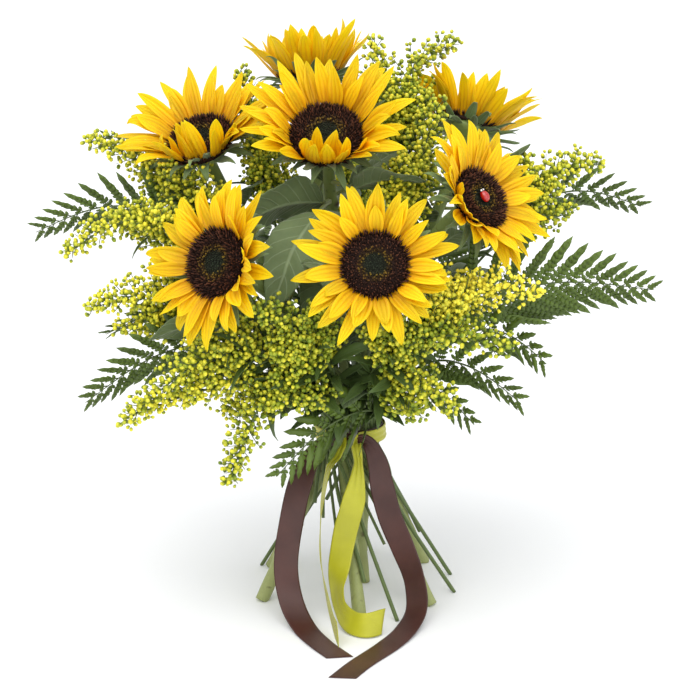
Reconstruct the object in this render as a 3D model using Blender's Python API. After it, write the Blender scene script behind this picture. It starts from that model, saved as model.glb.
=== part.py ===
"""Hand-tied bouquet: seven sunflowers, goldenrod and leatherleaf fern, tied with two satin ribbons.

The stems cross in a spiral at the tie, so the bunch narrows to a waist there and stands on its
splayed stem ends. Every stem, flower disc, ring of petals, leaf, spray and ribbon is one closed
solid. Metres, +Z up, front towards -Y, the middle stem's flat foot at the origin.
"""
import math

import bmesh
import bpy
import numpy as np

for left_over in list(bpy.data.objects):
    bpy.data.objects.remove(left_over, do_unlink=True)

# ---- driving dimensions (metres, degrees) ----
TIE_HEIGHT = 0.137
STEM_RADIUS = 0.0050
INNER_RING = 0.0125          # circle of six sunflower stems round the middle one, at the tie
OUTER_RING = 0.0222          # circle of the thin stems round those
FIRST_PLACE = 73              # place of the first thin stem on that circle, degrees
TIP_SHARE = 0.5               # how much the tip counts against the start when they are put in order
SPRAY_STEM_RADIUS = 0.0017
FERN_STEM_RADIUS = 0.0013
FOOT_CIRCLE = 0.082
PETALS_PER_RING = 17
PETAL_THICKNESS = 0.0010
RIBBON_WIDTH = 0.020
RIBBON_THICKNESS = 0.0006
GAP = 0.0014                 # air kept between neighbours while the bunch is arranged
STEP = 0.008                 # spacing of the rings along a stem while it is arranged
ORIGIN_SHIFT = np.array((-0.012, -0.008, 0.0))   # brings the middle stem's foot to the origin

YELLOW = (0.88, 0.47, 0.010)
DISC_BROWN = (0.035, 0.012, 0.008)
STEM_GREEN = (0.26, 0.34, 0.12)
LEAF_GREEN = (0.10, 0.17, 0.07)
SPRAY_YELLOW = (0.50, 0.46, 0.03)
FERN_GREEN = (0.03, 0.075, 0.02)
BROWN_SATIN = (0.075, 0.028, 0.020)
LIME_SATIN = (0.48, 0.50, 0.02)
LADYBIRD_RED = (0.60, 0.005, 0.02)

# ---- small vector helpers ----


def unit(v):
    v = np.asarray(v, float)
    return v / max(float(np.linalg.norm(v)), 1e-12)


def ring_point(radius, degrees, z):
    a = math.radians(degrees)
    return np.array((radius * math.cos(a), radius * math.sin(a), z))


def resample(points, step):
    """The same curve with evenly spaced points, the two ends kept."""
    points = np.asarray(points, float)
    seg = np.linalg.norm(np.diff(points, axis=0), axis=1)
    along = np.concatenate(([0.0], np.cumsum(seg)))
    count = max(2, int(round(along[-1] / step)) + 1)
    want = np.linspace(0.0, along[-1], count)
    return np.stack([np.interp(want, along, points[:, k]) for k in range(3)], axis=1)


def hermite(a, da, b, db, count=40):
    t = np.linspace(0.0, 1.0, count)[:, None]
    return ((2 * t**3 - 3 * t**2 + 1) * a + (t**3 - 2 * t**2 + t) * da
            + (-2 * t**3 + 3 * t**2) * b + (t**3 - t**2) * db)


def through(points, first=None, last=None):
    """A smooth curve through the points, with a tangent of its own choice at each."""
    points = [np.asarray(p, float) for p in points]
    n = len(points)
    tangents = []
    for i in range(n):
        a = points[max(i - 1, 0)]
        b = points[min(i + 1, n - 1)]
        tangents.append(unit(b - a))
    if first is not None:
        tangents[0] = unit(first)
    if last is not None:
        tangents[-1] = unit(last)
    pieces = []
    for i in range(n - 1):
        d = float(np.linalg.norm(points[i + 1] - points[i]))
        pieces.append(hermite(points[i], tangents[i] * d, points[i + 1], tangents[i + 1] * d)[:-1])
    pieces.append(points[-1][None])
    return np.concatenate(pieces)


def tangents_of(points):
    t = np.empty_like(points)
    t[1:-1] = points[2:] - points[:-2]
    t[0] = points[1] - points[0]
    t[-1] = points[-1] - points[-2]
    return t / np.linalg.norm(t, axis=1)[:, None]


def across(points, hint):
    """The direction across the blade at every ring: the hint made square to the run."""
    t = tangents_of(points)
    hint = np.broadcast_to(np.asarray(hint, float), t.shape)
    w = hint - (hint * t).sum(axis=1)[:, None] * t
    return w / np.linalg.norm(w, axis=1)[:, None]


# ---- meshes ----


def material(name, colour, roughness, metallic=0.0):
    m = bpy.data.materials.get(name) or bpy.data.materials.new(name)
    m.use_nodes = True
    shader = m.node_tree.nodes["Principled BSDF"]
    shader.inputs["Base Color"].default_value = (*colour, 1.0)
    shader.inputs["Roughness"].default_value = roughness
    shader.inputs["Metallic"].default_value = metallic
    return m


def closed_object(name, rings, caps, look, smooth=True):
    """A solid skinned over rings of equal length, end faces added where caps says so."""
    bm = bmesh.new()
    rows = [[bm.verts.new(tuple(p + ORIGIN_SHIFT)) for p in ring] for ring in rings]
    count = len(rows[0])
    joins = list(zip(rows[:-1], rows[1:]))
    if not caps:
        joins.append((rows[-1], rows[0]))
    for a, b in joins:
        for k in range(count):
            m = (k + 1) % count
            bm.faces.new((a[k], a[m], b[m], b[k]))
    if caps:
        bm.faces.new(list(reversed(rows[0])))
        bm.faces.new(rows[-1])
    bmesh.ops.triangulate(bm, faces=bm.faces[:])
    bmesh.ops.recalc_face_normals(bm, faces=bm.faces[:])
    if bm.calc_volume(signed=True) < 0:
        bmesh.ops.reverse_faces(bm, faces=bm.faces[:])
    for f in bm.faces:
        f.smooth = smooth
    mesh = bpy.data.meshes.new(name)
    bm.to_mesh(mesh)
    bm.free()
    ob = bpy.data.objects.new(name, mesh)
    bpy.context.scene.collection.objects.link(ob)
    mesh.materials.append(look)
    return ob


def section(sides, centre, w, n, half_w, half_t):
    """One ring: a flattened polygon with a corner at each edge of the blade."""
    ring = []
    for k in range(sides):
        a = 2 * math.pi * k / sides
        ring.append(centre + w * (half_w * math.cos(a)) + n * (half_t * math.sin(a)))
    return ring


def sweep(name, points, w, half_w, half_t, sides, look, level_start=False):
    t = tangents_of(points)
    rings = []
    for i, p in enumerate(points):
        n = np.cross(t[i], w[i])
        ring = section(sides, p, w[i], n, half_w[i], half_t[i])
        if level_start and i == 0:
            # the stem is cut level so it stands flat: slide every corner along the stem to z = 0
            ring = [q - t[i] * (q[2] / t[i][2]) for q in ring]
        rings.append(ring)
    return closed_object(name, rings, True, look)


def thin_out(count, keep_every, always=()):
    picked = set(range(0, count, keep_every)) | {count - 1} | {i % count for i in always}
    return sorted(picked)


# ---- the seven flower heads ----
# at: centre of the disc; facing: the way it looks; curl: the side whose petals curl most (degrees,
# 90 = uppermost); disc and petal: disc radius and petal length; cup: slant of the petals on that
# side and opposite it; tie: place of the stem on its circle at the tie; foot: where the stem stands
HEADS = {
    "sunflower_1": dict(at=(-0.019, -0.026, 0.396), facing=(-0.03, -0.66, 0.745), curl=270, disc=0.0300,
                        petal=0.039, cup=(52, 38), tie=None, foot=(0.012, 0.008)),
    "sunflower_2": dict(at=(-0.122, 0.007, 0.386), facing=(-0.27, -0.49, 0.83), curl=285, disc=0.0270,
                        petal=0.042, cup=(70, 26), tie=287, foot=(0.0670, -0.0455)),
    "sunflower_3": dict(at=(-0.104, -0.112, 0.311), facing=(-0.55, -0.74, 0.36), curl=0, disc=0.0275,
                        petal=0.040, cup=(40, 14), tie=347, foot=(0.0640, 0.0560)),
    "sunflower_4": dict(at=(0.019, -0.134, 0.315), facing=(0.0, -0.90, 0.436), curl=90, disc=0.0260,
                        petal=0.037, cup=(20, 14), tie=47, foot=(0.0100, 0.0830)),
    "sunflower_5": dict(at=(0.103, -0.072, 0.353), facing=(0.60, -0.60, 0.53), curl=200, disc=0.0250,
                        petal=0.041, cup=(62, 16), tie=107, foot=(-0.0680, 0.0440)),
    "sunflower_6": dict(at=(0.098, 0.058, 0.388), facing=(0.28, 0.50, 0.82), curl=250, disc=0.0255,
                        petal=0.041, cup=(56, 44), tie=167, foot=(-0.0740, -0.0350)),
    "sunflower_7": dict(at=(-0.034, 0.078, 0.426), facing=(-0.08, 0.38, 0.92), curl=270, disc=0.0250,
                        petal=0.042, cup=(66, 52), tie=227, foot=(0.0085, -0.0830)),
}

# radius as a share of the disc radius, height above the disc centre
DISC_PROFILE = ((0.85, -0.0062), (1.00, -0.0030), (0.97, 0.0012), (0.68, 0.0036), (0.30, 0.0022))
# the green cup under the disc: the stem flares out into it
CUP_PROFILE = ((0.185, -0.0300), (0.23, -0.0225), (0.44, -0.0165), (0.80, -0.0118),
               (0.97, -0.0086), (0.89, -0.0066))


def head_frame(head):
    """Right, up and facing directions of one flower head."""
    n = unit(head["facing"])
    up = np.array((0.0, 0.3, 0.95))
    up = unit(up - n * (up @ n))
    return np.cross(up, n), up, n


def petal_rings(head):
    """The petal ring of one head: an open cup with a pointed outline, curled more on one side."""
    e1, e2, n = head_frame(head)
    at = np.array(head["at"])
    inner, middle_top, middle_low, outer = [], [], [], []
    inner_low = []
    half = PETAL_THICKNESS / 2
    for k in range(2 * PETALS_PER_RING):
        a = math.pi * k / PETALS_PER_RING
        turn = math.cos(a - math.radians(head["curl"]))
        blend = max(0.0, turn) ** 1.5
        cup = math.radians(head["cup"][1] + (head["cup"][0] - head["cup"][1]) * blend)
        out = e1 * math.cos(a) + e2 * math.sin(a)
        along = out * math.cos(cup) + n * math.sin(cup)
        square = n * math.cos(cup) - out * math.sin(cup)
        root = at + out * (head["disc"] + 0.0007) - n * 0.0036
        reach = head["petal"] * (1.0 if k % 2 == 0 else 0.72)
        inner.append(root + square * half)
        inner_low.append(root - square * half)
        middle = root + along * head["petal"] * 0.5 - square * 0.0012
        middle_top.append(middle + square * half)
        middle_low.append(middle - square * half)
        outer.append(root + along * reach)
    return [inner_low, inner, middle_top, outer, middle_low]


def lathe(name, profile, at, frame, sides, look, radius_of_one):
    e1, e2, n = frame
    rings = []
    for share, height in profile:
        radius = share * radius_of_one
        ring = []
        for k in range(sides):
            a = 2 * math.pi * k / sides
            ring.append(at + e1 * (radius * math.cos(a)) + e2 * (radius * math.sin(a)) + n * height)
        rings.append(ring)
    return closed_object(name, rings, True, look)


def head_cloud(head):
    """Points over a head, used to keep stems and foliage clear of it."""
    at = np.array(head["at"])
    e1, e2, n = head_frame(head)
    low, top, middle, outer, _ = [np.array(r) for r in petal_rings(head)]
    cloud = []
    for share in (0.15, 0.45, 0.75, 1.0):
        ring = middle * (1 - share) + outer * share
        cloud.append(ring)
        cloud.append(top * (1 - share) + middle * share)
    for radius, height in ((0.0, 0.0), (0.010, 0.0), (0.019, 0.0), (0.022, -0.009), (0.012, -0.015)):
        for k in range(12):
            a = 2 * math.pi * k / 12
            cloud.append((at + e1 * (radius * math.cos(a)) + e2 * (radius * math.sin(a))
                          + n * height)[None])
    return np.concatenate(cloud)


# ---- routes of everything that bends ----


def sunflower_route(head):
    foot = np.array((*head["foot"], 0.0))
    if head["tie"] is None:
        tie = np.array((0.0, 0.0, TIE_HEIGHT))
    else:
        tie = ring_point(INNER_RING, head["tie"], TIE_HEIGHT)
    n = unit(head["facing"])
    neck = np.array(head["at"]) - n * 0.030
    rise = unit(tie - foot)
    reach = float(np.linalg.norm(neck - tie))
    # the flower is heavy: the stem leaves the tie straight and bends over just below the head
    upper = hermite(tie, rise * reach * 0.9, neck, n * reach * 0.75)
    return np.concatenate((foot[None], upper))


# goldenrod: start of the plume, tip, half width of the plume, sag of the tip, height of the cut end
GOLDENROD = {
    "goldenrod_left_high": ((-0.128, 0.004, 0.330), (-0.214, 0.020, 0.382), 0.0125, 0.006, 0.030),
    "goldenrod_left_middle": ((-0.146, -0.034, 0.322), (-0.226, -0.052, 0.303), 0.0135, 0.016, 0.0),
    "goldenrod_left_low": ((-0.128, -0.062, 0.262), (-0.208, -0.078, 0.263), 0.0130, 0.014, 0.062),
    "goldenrod_front_left": ((-0.072, -0.100, 0.236), (-0.176, -0.132, 0.186), 0.0150, 0.018, 0.0),
    "goldenrod_front_hanging": ((-0.044, -0.090, 0.218), (-0.097, -0.116, 0.130), 0.0130, 0.022, 0.094),
    "goldenrod_top_middle": ((0.034, 0.040, 0.390), (0.020, 0.058, 0.458), 0.0085, 0.002, 0.070),
    "goldenrod_top_right": ((0.044, 0.034, 0.380), (0.088, 0.074, 0.456), 0.0140, 0.004, 0.048),
    "goldenrod_between_left": ((-0.070, 0.020, 0.340), (-0.090, 0.052, 0.434), 0.0110, 0.003, 0.084),
    "goldenrod_between_right": ((0.044, -0.030, 0.335), (0.072, -0.006, 0.416), 0.0165, 0.004, 0.060),
    "goldenrod_right_high": ((0.134, -0.004, 0.335), (0.205, 0.022, 0.361), 0.0145, 0.010, 0.0),
    "goldenrod_right_front": ((0.070, -0.098, 0.268), (0.147, -0.124, 0.288), 0.0165, 0.012, 0.052),
    "goldenrod_front_low": ((0.030, -0.112, 0.243), (0.126, -0.134, 0.247), 0.0165, 0.012, 0.030),
    "goldenrod_front_right": ((0.030, -0.088, 0.212), (0.082, -0.136, 0.195), 0.0120, 0.012, 0.078),
    "goldenrod_centre_left": ((-0.024, -0.104, 0.240), (-0.078, -0.132, 0.280), 0.0150, 0.004, 0.0),
    "goldenrod_back": ((0.000, 0.120, 0.305), (0.024, 0.205, 0.335), 0.0155, 0.010, 0.050),
}

# fern: start of the blade, tip, half width of the blade, direction across it, sag, cut end height
FERNS = {
    "fern_left": ((-0.150, 0.020, 0.322), (-0.260, 0.020, 0.304), 0.028, (0.0, -0.5, 0.85), 0.014, 0.040),
    "fern_left_high": ((-0.132, 0.052, 0.342), (-0.207, 0.052, 0.378), 0.015, (0.0, -0.6, 0.8), 0.006, 0.075),
    "fern_left_low": ((-0.086, -0.052, 0.222), (-0.211, -0.088, 0.190), 0.036, (0.1, -0.4, 0.9), 0.022, 0.084),
    "fern_left_inner": ((-0.098, -0.026, 0.246), (-0.197, -0.050, 0.236), 0.028, (0.0, -0.8, 0.6), 0.014, 0.055),
    "fern_right_high": ((0.156, 0.044, 0.326), (0.243, 0.052, 0.319), 0.024, (0.0, -0.5, 0.85), 0.012, 0.066),
    "fern_right": ((0.098, -0.022, 0.252), (0.244, -0.038, 0.270), 0.044, (0.0, -0.35, 0.95), 0.014, 0.0),
    "fern_right_hanging": ((0.098, -0.046, 0.240), (0.156, -0.088, 0.222), 0.020, (0.3, -0.5, 0.8), 0.012, 0.090),
    "fern_right_low": ((0.060, -0.044, 0.212), (0.136, -0.090, 0.190), 0.022, (0.3, -0.5, 0.8), 0.014, 0.035),
    "fern_right_inner": ((0.044, -0.030, 0.192), (0.100, -0.078, 0.168), 0.018, (0.3, -0.5, 0.8), 0.012, 0.080),
    "fern_centre": ((0.022, -0.058, 0.178), (-0.058, -0.098, 0.132), 0.030, (0.4, 0.35, -0.85), 0.014, 0.100),
    "fern_back_left": ((-0.070, 0.090, 0.262), (-0.140, 0.190, 0.262), 0.036, (0.8, 0.6, 0.0), 0.016, 0.030),
    "fern_back_right": ((0.070, 0.090, 0.262), (0.150, 0.185, 0.262), 0.036, (0.8, -0.6, 0.0), 0.016, 0.060),
}

# broad leaves of the sunflowers: foot of the leaf stalk, tip, half width, direction across, sag
LEAVES = {
    "leaf_below_1": ((-0.022, -0.020, 0.338), (-0.088, -0.052, 0.326), 0.021, (0.1, -0.5, 0.85), 0.008),
    "leaf_hanging": ((-0.026, -0.046, 0.335), (-0.066, -0.086, 0.262), 0.019, (0.8, 0.1, 0.5), 0.012),
    "leaf_inner": ((0.000, -0.040, 0.300), (-0.036, -0.078, 0.252), 0.020, (0.8, 0.1, 0.5), 0.008),
    "leaf_right_of_1": ((0.004, -0.030, 0.352), (0.060, -0.052, 0.362), 0.018, (0.2, -0.8, 0.5), 0.006),
    "leaf_below_6": ((0.058, 0.028, 0.345), (0.072, 0.004, 0.398), 0.013, (0.9, 0.2, 0.0), 0.004),
    "leaf_right": ((0.112, 0.012, 0.338), (0.146, 0.000, 0.382), 0.014, (0.6, 0.5, 0.0), 0.004),
    "leaf_below_3": ((-0.078, -0.070, 0.250), (-0.158, -0.096, 0.244), 0.018, (0.0, -0.6, 0.8), 0.010),
    "leaf_back": ((-0.010, 0.070, 0.320), (-0.040, 0.150, 0.300), 0.028, (1.0, 0.2, 0.0), 0.012),
}


class Strand:
    """Something long that bends: its middle line, half widths, half thicknesses and free parts."""

    def __init__(self, name, points, hint, half_w, half_t, free, owner=None):
        self.name = name
        self.points = points
        self.start = points.copy()
        self.hint = np.asarray(hint, float)
        self.half_w = half_w
        self.half_t = half_t
        self.free = free
        self.owner = owner

    def cloud(self):
        w = across(self.points, self.hint)
        spots, sizes, rows = [], [], []
        for i, p in enumerate(self.points):
            reach = self.half_w[i] - self.half_t[i]
            lanes = 1 if reach < 0.0012 else 2 * int(math.ceil(reach / 0.0075)) + 1
            for lane in range(lanes):
                share = 0.0 if lanes == 1 else -1 + 2 * lane / (lanes - 1)
                spots.append(p + w[i] * reach * share)
                sizes.append(max(self.half_t[i], 0.0034 if lanes > 1 else 0.0))
                rows.append(i)
        return np.array(spots), np.array(sizes), np.array(rows)


def ease(x):
    x = np.clip(x, 0.0, 1.0)
    return x * x * (3 - 2 * x)


def spray_order():
    """Places on the outer circle, in the order of the directions the sprays go in."""
    ends = {**GOLDENROD, **FERNS}
    aims = {k: np.array(v[0]) + TIP_SHARE * np.array(v[1]) for k, v in ends.items()}
    turned = sorted(aims, key=lambda k: math.atan2(aims[k][1], aims[k][0]) % (2 * math.pi))
    return {name: FIRST_PLACE + 360.0 * i / len(turned) for i, name in enumerate(turned)}


def spray_route(place, begin, tip, sag, cut_height):
    """From the cut end through the tie, out to the start of the blade, then in an arc to the tip."""
    tie = ring_point(OUTER_RING, place, TIE_HEIGHT)
    foot = ring_point(FOOT_CIRCLE + 0.008, place + 76, 0.0)
    down = unit(foot - tie)
    if cut_height > 0:
        foot = tie + down * ((TIE_HEIGHT - cut_height) / -down[2])
    begin = np.array(begin)
    tip = np.array(tip)
    middle = (begin + tip) / 2 + np.array((0.0, 0.0, sag))
    upper = through([tie, begin, middle, tip], first=-down)
    return np.concatenate((foot[None], upper))


def make_strands():
    strands = []
    for name, head in HEADS.items():
        points = resample(sunflower_route(head), STEP)
        points[0] = (*head["foot"], 0.0)
        n = len(points)
        size = np.full(n, STEM_RADIUS)
        free = ease((points[:, 2] - TIE_HEIGHT - 0.010) / 0.05)
        near = np.linalg.norm(points - np.array(head["at"]), axis=1)
        free = free * ease((near - 0.034) / 0.05)
        strands.append(Strand(name + "_stem", points, (1.0, 0.1, 0.0), size, size, free, name))
    order = spray_order()
    # these two change places, or their stems would cross just above the tie
    order["goldenrod_front_low"], order["goldenrod_front_right"] = (order["goldenrod_front_right"],
                                                                    order["goldenrod_front_low"])
    for name, (begin, tip, half_w, sag, cut) in GOLDENROD.items():
        points = resample(spray_route(order[name], begin, tip, sag, cut), STEP)
        lower = np.linalg.norm(points - np.array(begin), axis=1).argmin()
        run = np.clip((np.arange(len(points)) - lower) / (len(points) - 1 - lower), -1, 1)
        swell = np.where(run < 0, 0.0, ease((run + 0.02) / 0.30)) * (1 - 0.86 * ease((run - 0.35) / 0.65))
        w = SPRAY_STEM_RADIUS + (half_w - SPRAY_STEM_RADIUS) * swell
        t = SPRAY_STEM_RADIUS + (half_w * 0.62 - SPRAY_STEM_RADIUS) * swell
        free = 0.25 + 0.75 * ease((np.abs(points[:, 2] - TIE_HEIGHT) - 0.003) / 0.02)
        ray = np.array(tip) - np.array(begin)
        side = np.cross(ray, (0.0, 0.9613, -0.2756))
        strands.append(Strand(name, points, unit(side), w, t, free))
    for name, (begin, tip, half_w, hint, sag, cut) in FERNS.items():
        points = resample(spray_route(order[name], begin, tip, sag, cut), STEP)
        lower = np.linalg.norm(points - np.array(begin), axis=1).argmin()
        run = np.clip((np.arange(len(points)) - lower) / (len(points) - 1 - lower), -1, 1)
        swell = np.where(run < 0, 0.0, ease((run + 0.02) / 0.22)) * (1 - ease((run - 0.12) / 0.9)) * 1.02
        w = FERN_STEM_RADIUS + (half_w - FERN_STEM_RADIUS) * np.clip(swell, 0, 1)
        t = np.full(len(points), FERN_STEM_RADIUS)
        t[-2:] = (0.0011, 0.0006)
        w[-1] = 0.0009
        free = 0.25 + 0.75 * ease((np.abs(points[:, 2] - TIE_HEIGHT) - 0.003) / 0.02)
        free[len(points) // 2:] = 1.0
        strands.append(Strand(name, points, unit(hint), w, t, free))
    for name, (begin, tip, half_w, hint, sag) in LEAVES.items():
        begin, tip = np.array(begin), np.array(tip)
        middle = (begin + tip) / 2 + np.array((0.0, 0.0, sag))
        points = resample(through([begin, middle, tip]), STEP * 0.8)
        run = np.linspace(0, 1, len(points))
        w = 0.0016 + (half_w - 0.0016) * np.sin(np.pi * ease(run * 0.92 + 0.02)) ** 0.8
        w[-1] = 0.0012
        t = np.full(len(points), 0.0012)
        t[-1] = 0.0007
        free = np.ones(len(points))
        strands.append(Strand(name, points, unit(hint), w, t, free))
    return strands


def settle(strands, rounds=300):
    """Move the free parts of the strands apart until each keeps its air gap, as a florist would."""
    heads = {name: head_cloud(head) for name, head in HEADS.items()}
    fixed = np.concatenate(list(heads.values()))
    fixed_owner = np.concatenate([np.full(len(c), i) for i, c in enumerate(heads.values())])
    owner_of = {name: i for i, name in enumerate(heads)}
    bands = RIBBON_KEEP_CLEAR
    pairs = None
    for r in range(rounds):
        spots, sizes, rows, owners = [], [], [], []
        for k, s in enumerate(strands):
            p, q, i = s.cloud()
            spots.append(p)
            sizes.append(q)
            rows.append(i)
            owners.append(np.full(len(p), k))
        spots = np.concatenate(spots)
        sizes = np.concatenate(sizes)
        rows = np.concatenate(rows)
        owners = np.concatenate(owners)
        every = np.concatenate((spots, fixed, bands))
        every_size = np.concatenate((sizes, np.full(len(fixed), 0.0034), np.full(len(bands), 0.0040)))
        every_owner = np.concatenate((owners, 1000 + fixed_owner, np.full(len(bands), 2000)))
        if pairs is None or r % 8 == 0:
            a_list, b_list = [], []
            sq = (every**2).sum(axis=1)
            for c in range(0, len(spots), 700):
                block = every[c:c + 700]
                d2 = sq[c:c + 700, None] + sq[None] - 2 * block @ every.T
                reach = every_size[c:c + 700, None] + every_size[None] + GAP + 0.010
                a, b = np.nonzero(d2 < reach**2)
                keep = (b > a + c) & (every_owner[a + c] != every_owner[b])
                a_list.append(a[keep] + c)
                b_list.append(b[keep])
            a = np.concatenate(a_list)
            b = np.concatenate(b_list)
            own = np.zeros(len(a), bool)
            for k, s in enumerate(strands):
                if s.owner:
                    own |= (every_owner[a] == k) & (every_owner[b] == 1000 + owner_of[s.owner])
            pairs = (a[~own], b[~own])
        a, b = pairs
        diff = every[a] - every[b]
        dist = np.linalg.norm(diff, axis=1)
        need = every_size[a] + every_size[b] + GAP
        hit = dist < need
        a, b, diff, dist, need = a[hit], b[hit], diff[hit], dist[hit], need[hit]
        push = diff / np.maximum(dist, 1e-6)[:, None] * (need - dist)[:, None]
        movable = every_owner[b] < 1000
        share = np.where(movable, 0.5, 1.0)[:, None]
        moves = [np.zeros((len(s.points), 3)) for s in strands]
        hits = [np.zeros(len(s.points)) for s in strands]
        for index, amount in ((a, push * share), (b[movable], -push[movable] * 0.5)):
            for k in range(len(strands)):
                pick = every_owner[index] == k
                if pick.any():
                    np.add.at(moves[k], rows[index[pick]], amount[pick])
                    np.add.at(hits[k], rows[index[pick]], 1.0)
        strength = 1.0 if r > rounds * 0.5 else 0.8
        home = 0.02 if r < rounds * 0.6 else 0.0
        for k, s in enumerate(strands):
            move = moves[k] / np.maximum(hits[k], 1.0)[:, None] * strength * 1.6
            for _ in range(4):
                wide = np.pad(move, ((1, 1), (0, 0)), mode="edge")
                move = 0.25 * wide[:-2] + 0.5 * wide[1:-1] + 0.25 * wide[2:]
            move = move + (s.start - s.points) * home
            move = move * s.free[:, None]
            if s.start[0][2] < 0.001:
                move[0, 2] = 0.0
            s.points = s.points + move
            if r % 4 == 3:
                wide = np.pad(s.points, ((1, 1), (0, 0)), mode="edge")
                even = 0.25 * wide[:-2] + 0.5 * wide[1:-1] + 0.25 * wide[2:]
                gentle = s.free[:, None] * 0.25
                gentle[[0, -1]] = 0.0
                s.points = s.points * (1 - gentle) + even * gentle


# ---- the two ribbons ----
# Middle line from one cut end to the other with the facing of the front side, and the share of the
# full width shown there: the ribbon is gathered where it is knotted.
BAND = 0.0268
FLOOR = RIBBON_THICKNESS / 2 + 0.0001


def band_points(radius, z, start, stop, count):
    """One turn round the tie, seen from above, from azimuth start to stop."""
    rows = []
    for k in range(count):
        a = start + (stop - start) * k / (count - 1)
        p = ring_point(radius, a, z)
        rows.append((tuple(p), tuple(ring_point(1.0, a, 0.0)), 0.62))
    return rows


BROWN_PATH = (
    [((-0.0080, -0.1570, FLOOR), (0, 0, 1), 1.0),
     ((-0.0240, -0.1300, FLOOR + 0.0006), (0, 0, 1), 1.0),
     ((-0.0380, -0.1010, 0.0035), (0.05, -0.25, 1), 1.0),
     ((-0.0480, -0.0830, 0.0180), (0.05, -0.9, 0.6), 1.0),
     ((-0.0525, -0.0730, 0.0450), (0, -1, 0.15), 1.0),
     ((-0.0480, -0.0620, 0.0800), (0, -1, 0.1), 1.0),
     ((-0.0400, -0.0500, 0.1120), (-0.15, -1, 0.1), 1.0),
     ((-0.0280, -0.0370, 0.1330), (-0.4, -1, 0.2), 0.70),
     ((-0.0120, -0.0300, 0.1420), (-0.35, -1, 0.1), 0.45)]
    + band_points(BAND, TIE_HEIGHT + 0.0030, 276, 276 + 342, 19)
    + [((0.0010, -0.0310, 0.1390), (0.1, -1, 0), 0.42),
       ((0.0135, -0.0345, 0.1400), (0.3, -1, 0), 0.55),
       ((0.0225, -0.0400, 0.1240), (0.25, -1, 0), 0.85),
       ((0.0265, -0.0460, 0.1040), (0.15, -1, 0), 1.0),
       ((0.0330, -0.0510, 0.0800), (0.05, -1, 0), 1.0),
       ((0.0440, -0.0560, 0.0540), (-0.15, -1, 0), 1.0),
       ((0.0530, -0.0620, 0.0300), (-0.45, -0.9, 0.1), 1.0),
       ((0.0550, -0.0780, 0.0110), (-0.5, -0.6, 0.6), 1.0),
       ((0.0470, -0.1020, 0.0030), (-0.15, -0.2, 1), 1.0),
       ((0.0320, -0.1320, FLOOR + 0.0005), (0, 0, 1), 1.0),
       ((0.0080, -0.1700, FLOOR), (0, 0, 1), 1.0),
       ((-0.0060, -0.1970, FLOOR), (0, 0, 1), 1.0)]
)

LIME_PATH = (
    [((0.0270, -0.1070, 0.0105), (0.15, -1, 0.25), 1.0),
     ((0.0130, -0.1150, 0.0103), (0.0, -1, 0.3), 1.0),
     ((0.0010, -0.1080, 0.0105), (-0.35, -1, 0.3), 0.95),
     ((-0.0075, -0.0930, 0.0160), (-0.9, -0.55, 0.3), 0.85),
     ((-0.0105, -0.0830, 0.0300), (-0.95, -0.7, 0.1), 0.95),
     ((-0.0085, -0.0760, 0.0480), (-0.5, -1, 0), 1.0),
     ((-0.0035, -0.0660, 0.0740), (-0.2, -1, 0), 1.0),
     ((0.0035, -0.0560, 0.0980), (0.0, -1, 0), 0.95),
     ((0.0068, -0.0460, 0.1250), (0.0, -1, 0), 0.36),
     ((0.0052, -0.0400, 0.1390), (0.0, -1, 0), 0.45)]
    + band_points(BAND + 0.0030, TIE_HEIGHT + 0.0030, 284, 284 + 330, 19)
    + [((-0.0090, -0.0385, 0.1340), (-0.4, -1, 0), 0.40),
       ((-0.0180, -0.0500, 0.1200), (-0.9, -0.3, 0.3), 0.70),
       ((-0.0235, -0.0680, 0.0860), (-1, 0, 0), 1.0),
       ((-0.0235, -0.0830, 0.0540), (-1, 0, 0), 1.0),
       ((-0.0185, -0.0980, 0.0290), (-1, 0, 0), 1.0),
       ((-0.0130, -0.1180, 0.0130), (-1, -0.1, 0), 1.0),
       ((-0.0095, -0.1360, 0.0108), (-1, -0.05, 0), 0.95)]
)


def ribbon_lines(path, step=0.0075):
    """Evenly spaced middle points, facings and width shares along a ribbon."""
    marks = through([p for p, _, _ in path])
    per = (len(marks) - 1) // (len(path) - 1)
    share_at = np.arange(len(marks)) / per
    facing = np.array([unit(f) for _, f, _ in path])
    width = np.array([w for _, _, w in path])
    index = np.arange(len(path))
    face = np.stack([np.interp(share_at, index, facing[:, k]) for k in range(3)], axis=1)
    wide = np.interp(share_at, index, width)
    seg = np.concatenate(([0.0], np.cumsum(np.linalg.norm(np.diff(marks, axis=0), axis=1))))
    count = int(round(seg[-1] / step)) + 1
    want = np.linspace(0, seg[-1], count)
    points = np.stack([np.interp(want, seg, marks[:, k]) for k in range(3)], axis=1)
    face = np.stack([np.interp(want, seg, face[:, k]) for k in range(3)], axis=1)
    return points, face, np.interp(want, seg, wide)


def ribbon(name, path, look):
    points, face, wide = ribbon_lines(path)
    t = tangents_of(points)
    w = np.cross(face, t)
    w = w / np.linalg.norm(w, axis=1)[:, None]
    half_t = RIBBON_THICKNESS / 2
    rings = []
    for p, side, run, share in zip(points, w, t, wide):
        n = np.cross(run, side)
        reach = side * (RIBBON_WIDTH / 2 * share)
        lift = n * half_t
        rings.append([p - reach - lift, p + reach - lift, p + reach + lift, p - reach + lift])
    low = min(q[2] for ring in rings for q in ring)
    if low < 0.00005:
        rings = [[np.array((q[0], q[1], max(q[2], 0.00005 + 0.4 * (q[2] - low)))) for q in ring]
                 for ring in rings]
    return closed_object(name, rings, True, look, smooth=False)


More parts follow.
